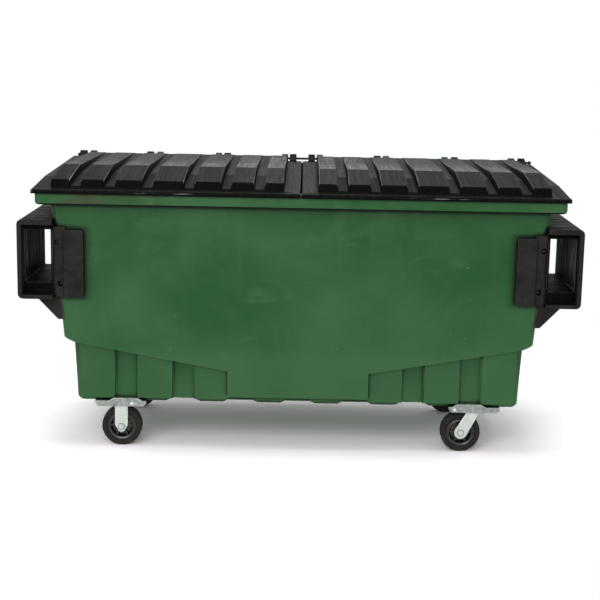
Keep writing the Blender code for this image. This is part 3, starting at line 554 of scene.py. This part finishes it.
def pocketPlastic(look):
    material, tree, shader = newMaterial("pocketPlastic")
    where = directions(tree)
    region = regionFinder(tree, where, look)
    cloud = pattern(tree, **look["cloud"])
    colour = twoTone(tree, cloud, look["cloudLevels"], (look["dark"], look["light"]))
    upward = region("facingUp")
    colour = mixColour(tree, times(tree, upward, look["topAmount"]), colour, look["top"])
    # painted shade in the roof's grooves and on the low floor
    lowRoof = maths(tree, "ADD", region("roofGrooves"), region("belowRoof"))
    colour = mixColour(tree, times(tree, upward, lowRoof), colour, look["black"])
    inChannel = region("channelWalls")
    # painted light in streaks on the channel walls
    litStreaks = times(tree, inChannel, region("litDepth"), pattern(tree, **look["streaks"]),
                    region("litHeight"), look["litAmount"])
    # painted shadow in the mouth
    colour = mixColour(tree, region("mouth"), colour, look["black"])
    # painted highlight lines at the channel's floor and mouth
    lines = [times(tree, inChannel, *limits(tree, where, look[name])) for name in ("floorLine", "mouthLine")]
    colour = mixColour(tree, largest(tree, litStreaks, *lines), colour, look["channelLight"])
    # painted highlight on the outer edges, partly worn
    colour = mixColour(tree, litAndWornEdges(tree, look["edgeLightAndWear"]), colour, look["edge"])
    colour = paintCreviceShade(tree, colour, look["crevices"])
    rough = mixNumber(tree, mask(tree, cloud, *look["roughLevels"]), *look["roughness"])
    height = maths(tree, "ADD", pattern(tree, **look["grain"]), pattern(tree, **look["waves"]))
    coat(tree, shader, colour, rough, look["shine"], height, look["relief"])
    return material


# Plain plastics and rubber, which share all but their colours, gloss and grain
plainCoat = {
    "cloud": {"scale": 30, "detail": 5, "roughness": 0.6, "distortion": 0.4},
    "cloudLevels": (0.35, 0.65),
    "roughLevels": (0.3, 0.7),
    "grainDetail": 3,
    "relief": (0.3, 0.0004),
}
plainLooks = {
    "black_plastic": {"name": "capPlastic", "dark": (0.004, 0.004, 0.004), "light": (0.010, 0.010, 0.010),
                      "roughness": (0.40, 0.54), "shine": 0.3, "grain": 500},
    "tyre_rubber": {"name": "tyreRubber", "dark": (0.021, 0.0195, 0.0172), "light": (0.040, 0.036, 0.031),
                    "roughness": (0.66, 0.80), "shine": 0.2, "grain": 600},
    "hub_plastic": {"name": "hubPlastic", "dark": (0.0025, 0.0025, 0.0025), "light": (0.006, 0.006, 0.006),
                    "roughness": (0.12, 0.26), "shine": 0.9, "grain": 500},
}


def plainPlastic(look):
    material, tree, shader = newMaterial(look["name"])
    cloud = pattern(tree, **look["cloud"])
    colour = twoTone(tree, cloud, look["cloudLevels"], (look["dark"], look["light"]))
    rough = mixNumber(tree, mask(tree, cloud, *look["roughLevels"]), *look["roughness"])
    grain = pattern(tree, scale=look["grain"], detail=look["grainDetail"])
    coat(tree, shader, colour, rough, look["shine"], grain, look["relief"])
    return material


# Zinc and bolt steel: spangled, with painted shade in corners and in a ring round each front axle's head
steelCoat = {
    "cloud": {"scale": 38, "detail": 5, "roughness": 0.62, "distortion": 0.3},
    "crystalAmount": 0.3,
    "cloudAmount": 0.7,
    "levels": (0.30, 0.62),
    "axles": (),
    "axleRingShade": (0.05, 0.055, 0.05),
    "axleRing": (0.0115, 0.0135, 0.0006),  # a band of painted shade round an axle's head
    "axleAmount": 0.75,
    # painted shade in corners and under overhangs
    "crevices": {"reach": 0.012, "levels": (0.1, 1.0), "shades": (0.2, 1.05)},
    "metallic": 0.85,
    "grain": {"scale": 420, "detail": 3},
    "relief": (0.25, 0.0004),
}
steelLooks = {
    "zinc_steel": {"name": "brightZinc", "dark": (0.72, 0.77, 0.72), "light": (0.84, 0.89, 0.84),
                   "spangle": 160, "roughness": (0.34, 0.59),
                   "axles": ((-0.667, 0.0755), (0.622, 0.0755))},  # x and z of the two front ones
    "galvanised_steel": {"name": "dullZinc", "dark": (0.27, 0.29, 0.275), "light": (0.46, 0.49, 0.46),
                         "spangle": 110, "roughness": (0.40, 0.65),
                         "boltHeads": (-0.4543, -0.4549), "boltHeadColour": (0.85, 0.90, 0.86)},
    "bolt_steel": {"name": "blackBolt", "dark": (0.010, 0.010, 0.010), "light": (0.034, 0.033, 0.032),
                   "spangle": 200, "roughness": (0.40, 0.65)},
}


def platedSteel(look):
    material, tree, shader = newMaterial(look["name"])
    place = objectPlace(tree)
    x, y, z = parts(tree, place)
    cells = addNode(tree, "ShaderNodeTexVoronoi", Scale=look["spangle"])
    tree.links.new(place, cells.inputs["Vector"])
    crystal = parts(tree, cells.outputs["Color"])[0]
    cloud = pattern(tree, **look["cloud"])
    crystal = times(tree, crystal, look["crystalAmount"])
    blend = maths(tree, "ADD", crystal, times(tree, cloud, look["cloudAmount"]))
    colour = twoTone(tree, blend, look["levels"], (look["dark"], look["light"]))
    # painted shade in a ring round each front axle's head
    for centreX, centreZ in look["axles"]:
        away = distance(tree, maths(tree, "SUBTRACT", x, centreX), maths(tree, "SUBTRACT", z, centreZ))
        ring = times(tree, band(tree, away, *look["axleRing"]), look["axleAmount"])
        colour = mixColour(tree, ring, colour, look["axleRingShade"])
    if "boltHeads" in look:
        colour = mixColour(tree, mask(tree, y, *look["boltHeads"]), colour, look["boltHeadColour"])
    colour = paintCreviceShade(tree, colour, look["crevices"])
    tree.links.new(colour, shader.inputs["Base Color"])
    shader.inputs["Metallic"].default_value = look["metallic"]
    tree.links.new(mixNumber(tree, blend, *look["roughness"]), shader.inputs["Roughness"])
    bump(tree, shader, maths(tree, "ADD", pattern(tree, **look["grain"]), cloud), look["relief"])
    return material


finishes = {
    "green_plastic": greenPlastic(greenTub),
    "lid_plastic": lidPlastic(lidSkin),
    "pocket_plastic": pocketPlastic(pocketSkin),
}
for slot, look in plainLooks.items():
    finishes[slot] = plainPlastic({**plainCoat, **look})
for slot, look in steelLooks.items():
    finishes[slot] = platedSteel({**steelCoat, **look})
print("materials made:", len(finishes))


# Making pieces
slotOf = {part["node"]: part["material_slot"] for part in frame["record"]["subparts"]}
bodyOf = {node: body for body, nodes in frame["record"]["behaviour"]["bodies"].items() for node in nodes}
cornerNames = [end + "_" + side for end in ("front", "rear") for side in ("left", "right")]
meshCare = {
    "merge": 0.00003,  # corners of a solid's mesh that are closer become one
    "seam": 0.000005,  # the same on a turned shape
    "flat": 0.6,  # degrees; faces that meet at less become one
    "crisp": 38,  # degrees; the shading breaks where faces meet at more
    "segments": 3,
    "share": 0.3,  # of the room beside an edge that its rounding may take
    "foldSize": 2e-8,  # a triangle as large as this counts when a rounding has folded it over
    "foldTurn": 0.5,
    "foldedLeft": 4e-7,  # folded area that may stay
    "tries": 16,
    "easing": (3, 0.4),  # so many tries only weaken an edge that folds, and the later ones leave it sharp
    "wideFrom": 6,  # from this try on, edges with one end in the fold are taken too
}


def finishPiece(bm, name, *replaced, rounded=0.0, crisp=meshCare["crisp"]):
    # the first replaced node gives the body and the finish; rounded is the radius of weighed edges
    mesh = bpy.data.meshes.new(name)
    bm.to_mesh(mesh)
    bm.free()
    for face in mesh.polygons:
        face.use_smooth = True
    mesh.set_sharp_from_angle(angle=math.radians(crisp))
    piece = bpy.data.objects.new(name, mesh)
    scene.collection.objects.link(piece)
    mesh.materials.append(finishes[slotOf[replaced[0]]])
    if rounded:
        roundWeighed(piece, rounded)
    weighted = piece.modifiers.new("flatFacesStayFlat", "WEIGHTED_NORMAL")
    weighted.keep_sharp = True
    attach(piece, bodyOf[replaced[0]])
    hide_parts(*replaced)


def mergedCopy(node):
    bm = bmesh.new()
    bm.from_mesh(frame["nodes"][node].data)
    bmesh.ops.remove_doubles(bm, verts=bm.verts, dist=meshCare["merge"])
    bmesh.ops.dissolve_limit(bm, angle_limit=math.radians(meshCare["flat"]), verts=bm.verts, edges=bm.edges)
    return bm


def roomBeside(edge):
    # how far an edge is from the nearest other corner of its faces
    start = edge.verts[0].co
    along = edge.verts[1].co - start
    room = along.length
    for face in edge.link_faces:
        for vert in face.verts:
            if vert not in edge.verts:
                share = min(1, max(0, (vert.co - start).dot(along) / along.length_squared))
                room = min(room, (vert.co - start - along * share).length)
    return room


def weighEdges(bm, radius, turn, shortest=0.0):
    # edges whose faces turn by more degrees are rounded, with the full radius only where there is room for it
    weights = bm.edges.layers.float.new("bevel_weight_edge")
    for edge in bm.edges:
        if edge.calc_face_angle(0) > math.radians(turn) and edge.calc_length() > shortest:
            edge[weights] = min(1, roomBeside(edge) * meshCare["share"] / radius)


def foldedCorners(piece):
    # the area that a bevel has folded over itself, and the corners of the faces that it spoils
    bpy.context.view_layer.update()
    shown = piece.evaluated_get(bpy.context.evaluated_depsgraph_get())
    mesh = shown.to_mesh()
    mesh.calc_loop_triangles()
    folded = [tri for tri in mesh.loop_triangles if tri.area > meshCare["foldSize"]
              and tri.normal.dot(mesh.polygons[tri.polygon_index].normal) < meshCare["foldTurn"]]
    area = sum(tri.area for tri in folded)
    spoilt = {tri.polygon_index for tri in folded}
    corners = [mesh.vertices[corner].co.copy()
               for index in spoilt for corner in mesh.polygons[index].vertices]
    shown.to_mesh_clear()
    return area, corners


def roundWeighed(piece, radius):
    bevel = piece.modifiers.new("roundedEdges", "BEVEL")
    bevel.width, bevel.segments = radius, meshCare["segments"]
    bevel.limit_method, bevel.use_clamp_overlap = "WEIGHT", False
    mesh = piece.data
    tree = KDTree(len(mesh.vertices))
    for vert in mesh.vertices:
        tree.insert(vert.co, vert.index)
    tree.balance()
    weights = mesh.attributes["bevel_weight_edge"].data
    gentleTries, easing = meshCare["easing"]
    for attempt in range(meshCare["tries"]):
        area, corners = foldedCorners(piece)
        if area < meshCare["foldedLeft"]:
            break
        near = {tree.find(corner)[1] for corner in corners}
        for edge in mesh.edges:
            touching = sum(vert in near for vert in edge.vertices)
            if touching == 2 or (touching == 1 and attempt >= meshCare["wideFrom"]):
                weights[edge.index].value *= easing if attempt < gentleTries else 0
        mesh.update()
    print("   ", piece.name, "rounded after", attempt, "tries, folded area left", round(area * 1e6, 2), "mm2")


def middle(edge):
    return (edge.verts[0].co + edge.verts[1].co) / 2


def standing(centre, axis):
    # a matrix that carries the Z axis to axis and the origin to centre
    turn = Vector((0, 0, 1)).rotation_difference(Vector(axis)).to_matrix().to_4x4()
    return Matrix.Translation(centre) @ turn


def spun(profile, centre, axis, steps, closed=True):
    # turns (radius, along) points about the axis through centre
    bm = bmesh.new()
    points = [bm.verts.new((radius, 0, along)) for radius, along in profile]
    for one, other in zip(points, points[1:]):
        bm.edges.new((one, other))
    if closed:
        bm.edges.new((points[-1], points[0]))
    bmesh.ops.spin(bm, geom=bm.verts[:] + bm.edges[:], cent=(0, 0, 0), axis=(0, 0, 1), dvec=(0, 0, 0),
                   angle=math.tau, steps=steps, use_merge=True, use_duplicate=False)
    bmesh.ops.remove_doubles(bm, verts=bm.verts, dist=meshCare["seam"])
    bmesh.ops.recalc_face_normals(bm, faces=bm.faces)
    bmesh.ops.transform(bm, matrix=standing(centre, axis), verts=bm.verts)
    return bm


def bevelled(bm, edges, offset, segments, clamp=True):
    bmesh.ops.bevel(bm, geom=edges, offset=offset, offset_type="OFFSET", affect="EDGES", segments=segments,
                    profile=0.5, material=-1, clamp_overlap=clamp)


def joined(*shapes):
    bm = bmesh.new()
    for shape in shapes:
        spare = bpy.data.meshes.new("spare")
        shape.to_mesh(spare)
        shape.free()
        bm.from_mesh(spare)
        bpy.data.meshes.remove(spare)
    return bm


def hexagon(centre, axis, corner, height, chamfer=0.0007):
    # a hexagonal head or nut from centre along axis, with its edges broken
    bm = bmesh.new()
    bmesh.ops.create_cone(bm, cap_ends=True, segments=6, radius1=corner, radius2=corner, depth=height)
    bmesh.ops.translate(bm, vec=(0, 0, height / 2), verts=bm.verts)
    bevelled(bm, bm.edges[:], chamfer, 2)
    bmesh.ops.transform(bm, matrix=standing(centre, axis), verts=bm.verts)
    return bm


def threaded(centre, axis, radius, start, end, pitch=0.0015, depth=0.0005):
    # a stud whose surface is stepped by its thread: each turn starts in the root and has a flat crest
    root = radius - depth
    profile = [(0, start), (root, start)]
    along = start
    while along + pitch < end - pitch:
        profile += [(root, along + pitch * 0.25), (radius, along + pitch * 0.5),
                    (radius, along + pitch * 0.7)]
        along += pitch
    profile += [(root, along + pitch * 0.5), (root - depth, end), (0, end)]
    return spun(profile, centre, axis, 24, closed=False)


# Tub
tubEdges = {"radius": 0.0030, "turn": 24, "shortest": 0.0032}


def makeTub(sizes):
    bm = mergedCopy("tub")
    weighEdges(bm, sizes["radius"], sizes["turn"], sizes["shortest"])
    finishPiece(bm, "mouldedTub", "tub", rounded=sizes["radius"])


makeTub(tubEdges)
print("tub made")


# Lids
lidEdges = {"radius": 0.0026, "turn": 20, "crisp": 2.5}


def makeLid(side, sizes):
    bm = mergedCopy("lid_" + side)
    weighEdges(bm, sizes["radius"], sizes["turn"])
    finishPiece(bm, "ribbedLid_" + side, "lid_" + side, rounded=sizes["radius"], crisp=sizes["crisp"])


for side in ("left", "right"):
    makeLid(side, lidEdges)
print("lids made")


# Hinge rod and its caps
hinge = {"steps": 32, "endChamfer": 0.0008}


def roundBar(node, steps, chamfer):
    low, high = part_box(node)
    radius = (high.z - low.z) / 2
    half = (high.x - low.x) / 2
    profile = [(0, -half), (radius - chamfer, -half), (radius, -half + chamfer),
               (radius, half - chamfer), (radius - chamfer, half), (0, half)]
    return spun(profile, (low + high) / 2, (1, 0, 0), steps, closed=False)


def makeHinge(sizes):
    finishPiece(roundBar("hinge_rod", sizes["steps"], sizes["endChamfer"]), "hingeRod", "hinge_rod")
    for side, outward in (("left", -1), ("right", 1)):
        node = "rod_cap_" + side
        low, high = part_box(node)
        radius, length = (high.z - low.z) / 2, high.x - low.x
        profile = [(0, -length / 2), (radius * 0.92, -length / 2), (radius, -length * 0.42),
                   (radius, length * 0.15), (radius * 0.9, length * 0.32), (radius * 0.62, length * 0.44),
                   (radius * 0.3, length * 0.49), (0, length / 2)]
        cap = spun(profile, (low + high) / 2, (outward, 0, 0), sizes["steps"], closed=False)
        finishPiece(cap, "rodCap_" + side, node)


makeHinge(hinge)
print("hinge made")


# Fork pockets and the bolts that hold them
pocketEdges = {"radius": 0.0032, "turn": 26, "shortest": 0.0045, "flangeEnd": 0.7985, "flangeRadius": 0.0080,
               "flangeSegments": 5}
pocketBolt = {"slant": 15, "headRadius": 0.0085, "flange": 0.0012, "corner": 0.0072, "headHeight": 0.0050,
              "shankRadius": 0.0050, "length": 0.0337, "nutCorner": 0.0088, "nutHeight": 0.0078, "steps": 40}


def makePocket(side, sizes):
    bm = mergedCopy("fork_pocket_" + side)
    # the corners of the flange on the tub's front, which run from front to back
    corners = [edge for edge in bm.edges if abs(middle(edge).x) < sizes["flangeEnd"]
               and abs(edge.verts[0].co.y - edge.verts[1].co.y) > edge.calc_length() * 0.9]
    bevelled(bm, corners, sizes["flangeRadius"], sizes["flangeSegments"], clamp=False)
    weighEdges(bm, sizes["radius"], sizes["turn"], sizes["shortest"])
    finishPiece(bm, "forkPocket_" + side, "fork_pocket_" + side, rounded=sizes["radius"])


def makePocketBolt(side, word, sizes):
    outward = -1 if side == "left" else 1
    slant = math.radians(sizes["slant"])
    low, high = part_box(f"pocket_bolt_{side}_{word}")
    headX = low.x + sizes["headRadius"] * math.cos(slant)
    if outward > 0:
        headX = high.x - sizes["headRadius"] * math.cos(slant)
    face = Vector((headX, low.y + sizes["headRadius"] * math.sin(slant), (low.z + high.z) / 2))
    inward = Vector((-outward * math.sin(slant), math.cos(slant), 0))
    height, radius, thick = sizes["headHeight"], sizes["headRadius"], sizes["flange"]
    seat = face + inward * height
    flange = spun([(0, 0), (radius * 0.96, 0), (radius, thick * 0.5), (radius * 0.9, thick),
                   (sizes["corner"] * 0.9, thick * 1.7), (0, thick * 1.7)],
                  seat, -inward, sizes["steps"], closed=False)
    head = hexagon(seat, -inward, sizes["corner"], height)
    stud = threaded(seat, inward, sizes["shankRadius"], 0, sizes["length"] - height)
    finishPiece(joined(flange, head, stud), f"pocketBolt_{side}_{word}", f"pocket_bolt_{side}_{word}")
    nutLow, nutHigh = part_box(f"pocket_nut_{side}_{word}")
    nutFace = (nutLow + nutHigh) / 2 - inward * sizes["nutHeight"] / 2
    nut = hexagon(nutFace, inward, sizes["nutCorner"], sizes["nutHeight"])
    finishPiece(nut, f"pocketNut_{side}_{word}", f"pocket_nut_{side}_{word}")


for side in ("left", "right"):
    makePocket(side, pocketEdges)
    for word in ("upper", "lower"):
        makePocketBolt(side, word, pocketBolt)
print("pockets made")


# Wheels
wheel = {
    "steps": 96,
    "tyreBand": 0.021,
    "shoulder": 0.007,
    "sideRing": 0.0009,
    "rimInset": 0.0062,  # of the hub's rim, from the ends of its boss
    "hubLip": 0.0042,
    "hubDish": 0.0075,
    "webHalf": 0.0070,
    "bossRadius": 0.0175,
    "bore": 0.0064,
    "spokes": 6,
    "spokeThickness": 0.006,
    "spokeInset": 0.0048,
    "spokeRound": 0.0012,
    "spokeFlare": 1.5,  # a spoke is so many times thicker at the rim
}


def bothSides(oneSide):
    return oneSide + [(radius, -along) for radius, along in reversed(oneSide)]


def pieceName(kind, corner):
    return kind + corner.title().replace("_", "")


def makeTyre(corner, sizes):
    low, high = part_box("tyre_" + corner)
    radius, half = (high.z - low.z) / 2, (high.y - low.y) / 2
    seat, shoulder, ring = radius - sizes["tyreBand"] + 0.0004, sizes["shoulder"], sizes["sideRing"]
    # from the seat on the hub, over the side with its two rings, to the tread
    oneSide = [
        (seat, half - shoulder * 0.62), (seat + 0.0012, half - shoulder * 0.42),
        (seat + 0.0030, half - ring * 1.6), (seat + 0.0042, half - ring), (seat + 0.0056, half - ring * 2.1),
        (seat + 0.0072, half - ring * 1.5), (seat + 0.0105, half - ring * 0.3),
        (radius - shoulder * 1.1, half), (radius - shoulder * 0.86, half - ring * 0.2),
        (radius - shoulder * 0.74, half - ring * 1.1), (radius - shoulder * 0.62, half - ring * 0.9),
        (radius - shoulder * 0.34, half - shoulder * 0.32),
        (radius - shoulder * 0.14, half - shoulder * 0.62),
        (radius - shoulder * 0.04, half - shoulder * 0.95), (radius, half - shoulder * 1.5),
    ]
    tyre = spun(bothSides(oneSide), (low + high) / 2, (0, 1, 0), sizes["steps"])
    finishPiece(tyre, pieceName("tyre", corner), "tyre_" + corner)


def makeHub(corner, sizes):
    low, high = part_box("hub_" + corner)
    centre = (low + high) / 2
    radius, half = (high.z - low.z) / 2, (high.y - low.y) / 2
    rim, lip, dish, web = half - sizes["rimInset"], sizes["hubLip"], sizes["hubDish"], sizes["webHalf"]
    boss, bore = sizes["bossRadius"], sizes["bore"]
    inside = radius - lip * 3.3
    # from the rim, over its lip and down the dish to the web, then over the boss to the bore
    oneSide = [
        (radius, rim), (radius - 0.0006, rim + 0.0007), (radius - 0.0030, rim + 0.0007),
        (radius - 0.0036, rim - 0.0008), (radius - lip * 1.9, rim - 0.0026),
        (radius - lip * 2.4, rim - 0.0014), (radius - lip * 3.0, rim - 0.0012), (inside, rim - 0.0026),
        (inside - dish * 0.4, web + 0.0028), (inside - dish * 0.62, web), (boss + 0.0050, web),
        (boss + 0.0018, web + 0.0020),
        (boss, half - 0.0016), (boss - 0.0012, half - 0.0004), (boss * 0.72, half - 0.0004),
        (boss * 0.68, half - 0.0016), (bore + 0.0016, half - 0.0016), (bore + 0.0012, half), (bore, half),
    ]
    shapes = [spun(bothSides(oneSide), centre, (0, 1, 0), sizes["steps"])]
    inner, outer = boss - 0.003, radius - lip * 2.6
    for count in range(sizes["spokes"]):
        spoke = bmesh.new()
        bmesh.ops.create_cube(spoke, size=1)
        size = (outer - inner, 2 * (rim - sizes["spokeInset"]), sizes["spokeThickness"])
        bmesh.ops.scale(spoke, vec=size, verts=spoke.verts)
        for vert in spoke.verts:
            if vert.co.x > 0:
                vert.co.z *= sizes["spokeFlare"]
        bevelled(spoke, spoke.edges[:], sizes["spokeRound"], 2)
        bmesh.ops.translate(spoke, vec=((outer + inner) / 2, 0, 0), verts=spoke.verts)
        turn = Matrix.Rotation(math.tau * count / sizes["spokes"], 4, "Y")
        bmesh.ops.transform(spoke, matrix=Matrix.Translation(centre) @ turn, verts=spoke.verts)
        shapes.append(spoke)
    finishPiece(joined(*shapes), pieceName("hub", corner), "hub_" + corner)


# Axles
axle = {"corner": 0.0093, "headHeight": 0.0048, "headGap": 0.0004, "washerRadius": 0.0120, "washer": 0.0012,
        "shankRadius": 0.0059, "shankLength": 0.061, "threadFrom": 0.060, "collar": 0.0075, "nutShare": 0.72}


def makeAxle(corner, sizes):
    low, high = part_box("axle_bolt_" + corner)
    x, z = (low.x + high.x) / 2, (low.z + high.z) / 2
    seat = low.y + sizes["headHeight"] + sizes["headGap"]
    head = hexagon((x, seat, z), (0, -1, 0), sizes["corner"], sizes["headHeight"])
    radius, washer = sizes["washerRadius"], sizes["washer"]
    plate = spun([(0, 0), (radius - 0.0003, 0), (radius, 0.0003), (radius, washer - 0.0003),
                  (radius - 0.0003, washer), (0, washer)], (x, seat, z), (0, -1, 0), 40, closed=False)
    radius, length = sizes["shankRadius"], sizes["shankLength"]
    stud = threaded((x, seat, z), (0, 1, 0), radius, sizes["threadFrom"], high.y - seat)
    profile = [(0, 0), (radius, 0), (radius, length), (0, length)]
    shank = spun(profile, (x, seat, z), (0, 1, 0), 32, closed=False)
    finishPiece(joined(head, plate, shank, stud), "axleBolt_" + corner, "axle_bolt_" + corner)
    nutLow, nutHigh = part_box("axle_nut_" + corner)
    nutHeight = nutHigh.y - nutLow.y
    nut = hexagon((x, nutLow.y, z), (0, 1, 0), sizes["corner"], nutHeight * sizes["nutShare"])
    radius = sizes["collar"]
    profile = [(0, 0), (radius, 0), (radius, nutHeight * 0.86), (radius - 0.0010, nutHeight), (0, nutHeight)]
    collar = spun(profile, (x, nutLow.y, z), (0, 1, 0), 40, closed=False)
    finishPiece(joined(nut, collar), "axleNut_" + corner, "axle_nut_" + corner)


for corner in cornerNames:
    makeTyre(corner, wheel)
    makeHub(corner, wheel)
    makeAxle(corner, axle)
print("wheels made")


# Caster forks, plates and brackets
rigidFork = {"radius": 0.0012, "turn": 28}
swivelFork = {"radius": 0.0012, "turn": 35}
swivelPlate = {"radius": 0.0010, "turn": 35}
kingpin = {"radius": 0.0006, "turn": 40}
bracket = {"radius": 0.0016, "turn": 28}
plateNut = {"corner": 0.0078, "height": 0.0055, "spread": (0.0425, 0.0360), "plate": 0.006, "stud": 0.0040,
            "studEnds": (-0.002, 0.0085)}
bracketBolt = {"radius": 0.0072, "height": 0.0042, "sunk": 0.001, "left": 0.0435, "right": -0.0735,
               "z": 0.1715}


def plateNuts(node, sizes):
    low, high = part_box(node)
    centreX, centreY = (low.x + high.x) / 2, (low.y + high.y) / 2
    spreadX, spreadY = sizes["spread"]
    under = high.z - sizes["plate"]
    nuts = []
    for sideX in (-1, 1):
        for sideY in (-1, 1):
            place = (centreX + sideX * spreadX, centreY + sideY * spreadY, under)
            nuts.append(hexagon(place, (0, 0, -1), sizes["corner"], sizes["height"]))
            nuts.append(threaded(place, (0, 0, -1), sizes["stud"], *sizes["studEnds"]))
    return nuts


def makeCasting(node, name, sizes, extras=()):
    # the solid with rounded edges, and small things fixed to it
    bm = mergedCopy(node)
    weighEdges(bm, sizes["radius"], sizes["turn"])
    finishPiece(joined(bm, *extras), name, node, rounded=sizes["radius"])


def domedBolt(node, corner, sizes):
    # the round bolt head on a bracket's outer face
    low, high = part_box(node)
    outward = -1 if corner.startswith("front") else 1
    faceY = low.y if outward < 0 else high.y
    x = (low.x + high.x) / 2 + sizes[corner.split("_")[1]]
    radius, height, sunk = sizes["radius"], sizes["height"], sizes["sunk"]
    dome = [(0, -sunk), (radius, -sunk), (radius, height * 0.22), (radius * 0.93, height * 0.52),
            (radius * 0.74, height * 0.8), (radius * 0.42, height * 0.96), (0, height)]
    return spun(dome, (x, faceY, sizes["z"]), (0, outward, 0), 40, closed=False)


for end in ("front", "rear"):
    node = "rigid_fork_" + end + "_left"
    makeCasting(node, "rigidFork_" + end, rigidFork, plateNuts(node, plateNut))
    makeCasting("swivel_fork_" + end + "_right", "swivelFork_" + end, swivelFork)
    node = "swivel_plate_" + end + "_right"
    makeCasting(node, "swivelPlate_" + end, swivelPlate, plateNuts(node, plateNut))
    makeCasting("kingpin_" + end + "_right", "kingpin_" + end, kingpin)
for corner in cornerNames:
    node = "caster_bracket_" + corner
    makeCasting(node, "casterBracket_" + corner, bracket, [domedBolt(node, corner, bracketBolt)])
print("casters made")


# Floor, world and lamps
stage = {
    "floorSize": 60,
    "floorDrop": 0.0002,
    "floorColour": (0.93, 0.93, 0.93),
    "floorSeen": (1.92, 1.90, 1.92),  # what the camera sees, so that open floor comes out white
    "floorShaded": (1.86, 1.71, 1.83),  # the same under the tub, which throws green down there
    "shaded": (("x", -0.85, 0.85, 0.15), ("y", -0.48, 0.48, 0.15)),
    "shadowReach": (1.25, 2.1),  # beyond this the floor is plain white to the camera
    "shadowStretch": (1, 1.25, 1),
    "roughness": 0.95,
    "worldStrength": 0.43,
}
lamps = {
    "overhead": {"place": (0, 0.2, 4.2), "target": (0, 0, 0.5), "size": (4, 3), "power": 80},
    "front": {"place": (-1.5, -5.5, 3.4), "target": (0, 0, 0.6), "size": (4, 3), "power": 106},
}


def makeStage(look):
    bpy.ops.mesh.primitive_plane_add(size=look["floorSize"], location=(0, 0, cadLow.z - look["floorDrop"]))
    floor = bpy.context.object
    floor.name = "floor"
    material, tree, shader = newMaterial("paleFloor")
    seen = addNode(tree, "ShaderNodeLightPath").outputs["Is Camera Ray"]
    where = dict(zip("xyz", parts(tree, objectPlace(tree))))
    under = times(tree, *limits(tree, where, look["shaded"]))
    colour = mixColour(tree, under, look["floorSeen"], look["floorShaded"])
    tree.links.new(mixColour(tree, seen, look["floorColour"], colour), shader.inputs["Base Color"])
    shader.inputs["Roughness"].default_value = look["roughness"]
    shader.inputs["Specular IOR Level"].default_value = 0.0
    white = addNode(tree, "ShaderNodeEmission")
    white.inputs["Color"].default_value = (1, 1, 1, 1)
    away = distance(tree, *parts(tree, objectPlace(tree, look["shadowStretch"]))[:2])
    blend = addNode(tree, "ShaderNodeMixShader")
    tree.links.new(times(tree, mask(tree, away, *look["shadowReach"]), seen), blend.inputs["Fac"])
    tree.links.new(shader.outputs["BSDF"], blend.inputs[1])
    tree.links.new(white.outputs["Emission"], blend.inputs[2])
    tree.links.new(blend.outputs["Shader"], tree.nodes["Material Output"].inputs["Surface"])
    floor.data.materials.append(material)


def makeWorld(look):
    world = bpy.data.worlds.new("studio")
    world.use_nodes = True
    scene.world = world
    tree = world.node_tree
    background = tree.nodes["Background"]
    background.inputs["Color"].default_value = (1, 1, 1, 1)
    path = addNode(tree, "ShaderNodeLightPath")
    rays = [path.outputs["Is " + kind + " Ray"] for kind in ("Camera", "Glossy", "Transmission")]
    strength = mixNumber(tree, largest(tree, *rays), look["worldStrength"], 1.0)
    tree.links.new(strength, background.inputs["Strength"])


def addLamp(name, lamp):
    data = bpy.data.lights.new(name, "AREA")
    data.shape = "RECTANGLE"
    data.size, data.size_y = lamp["size"]
    data.energy = lamp["power"]
    light = bpy.data.objects.new(name, data)
    light.location = lamp["place"]
    aim = Vector(lamp["target"]) - Vector(lamp["place"])
    light.rotation_euler = aim.to_track_quat("-Z", "Y").to_euler()
    scene.collection.objects.link(light)


makeStage(stage)
makeWorld(stage)
for name, lamp in lamps.items():
    addLamp(name, lamp)
print("stage and lamps set")
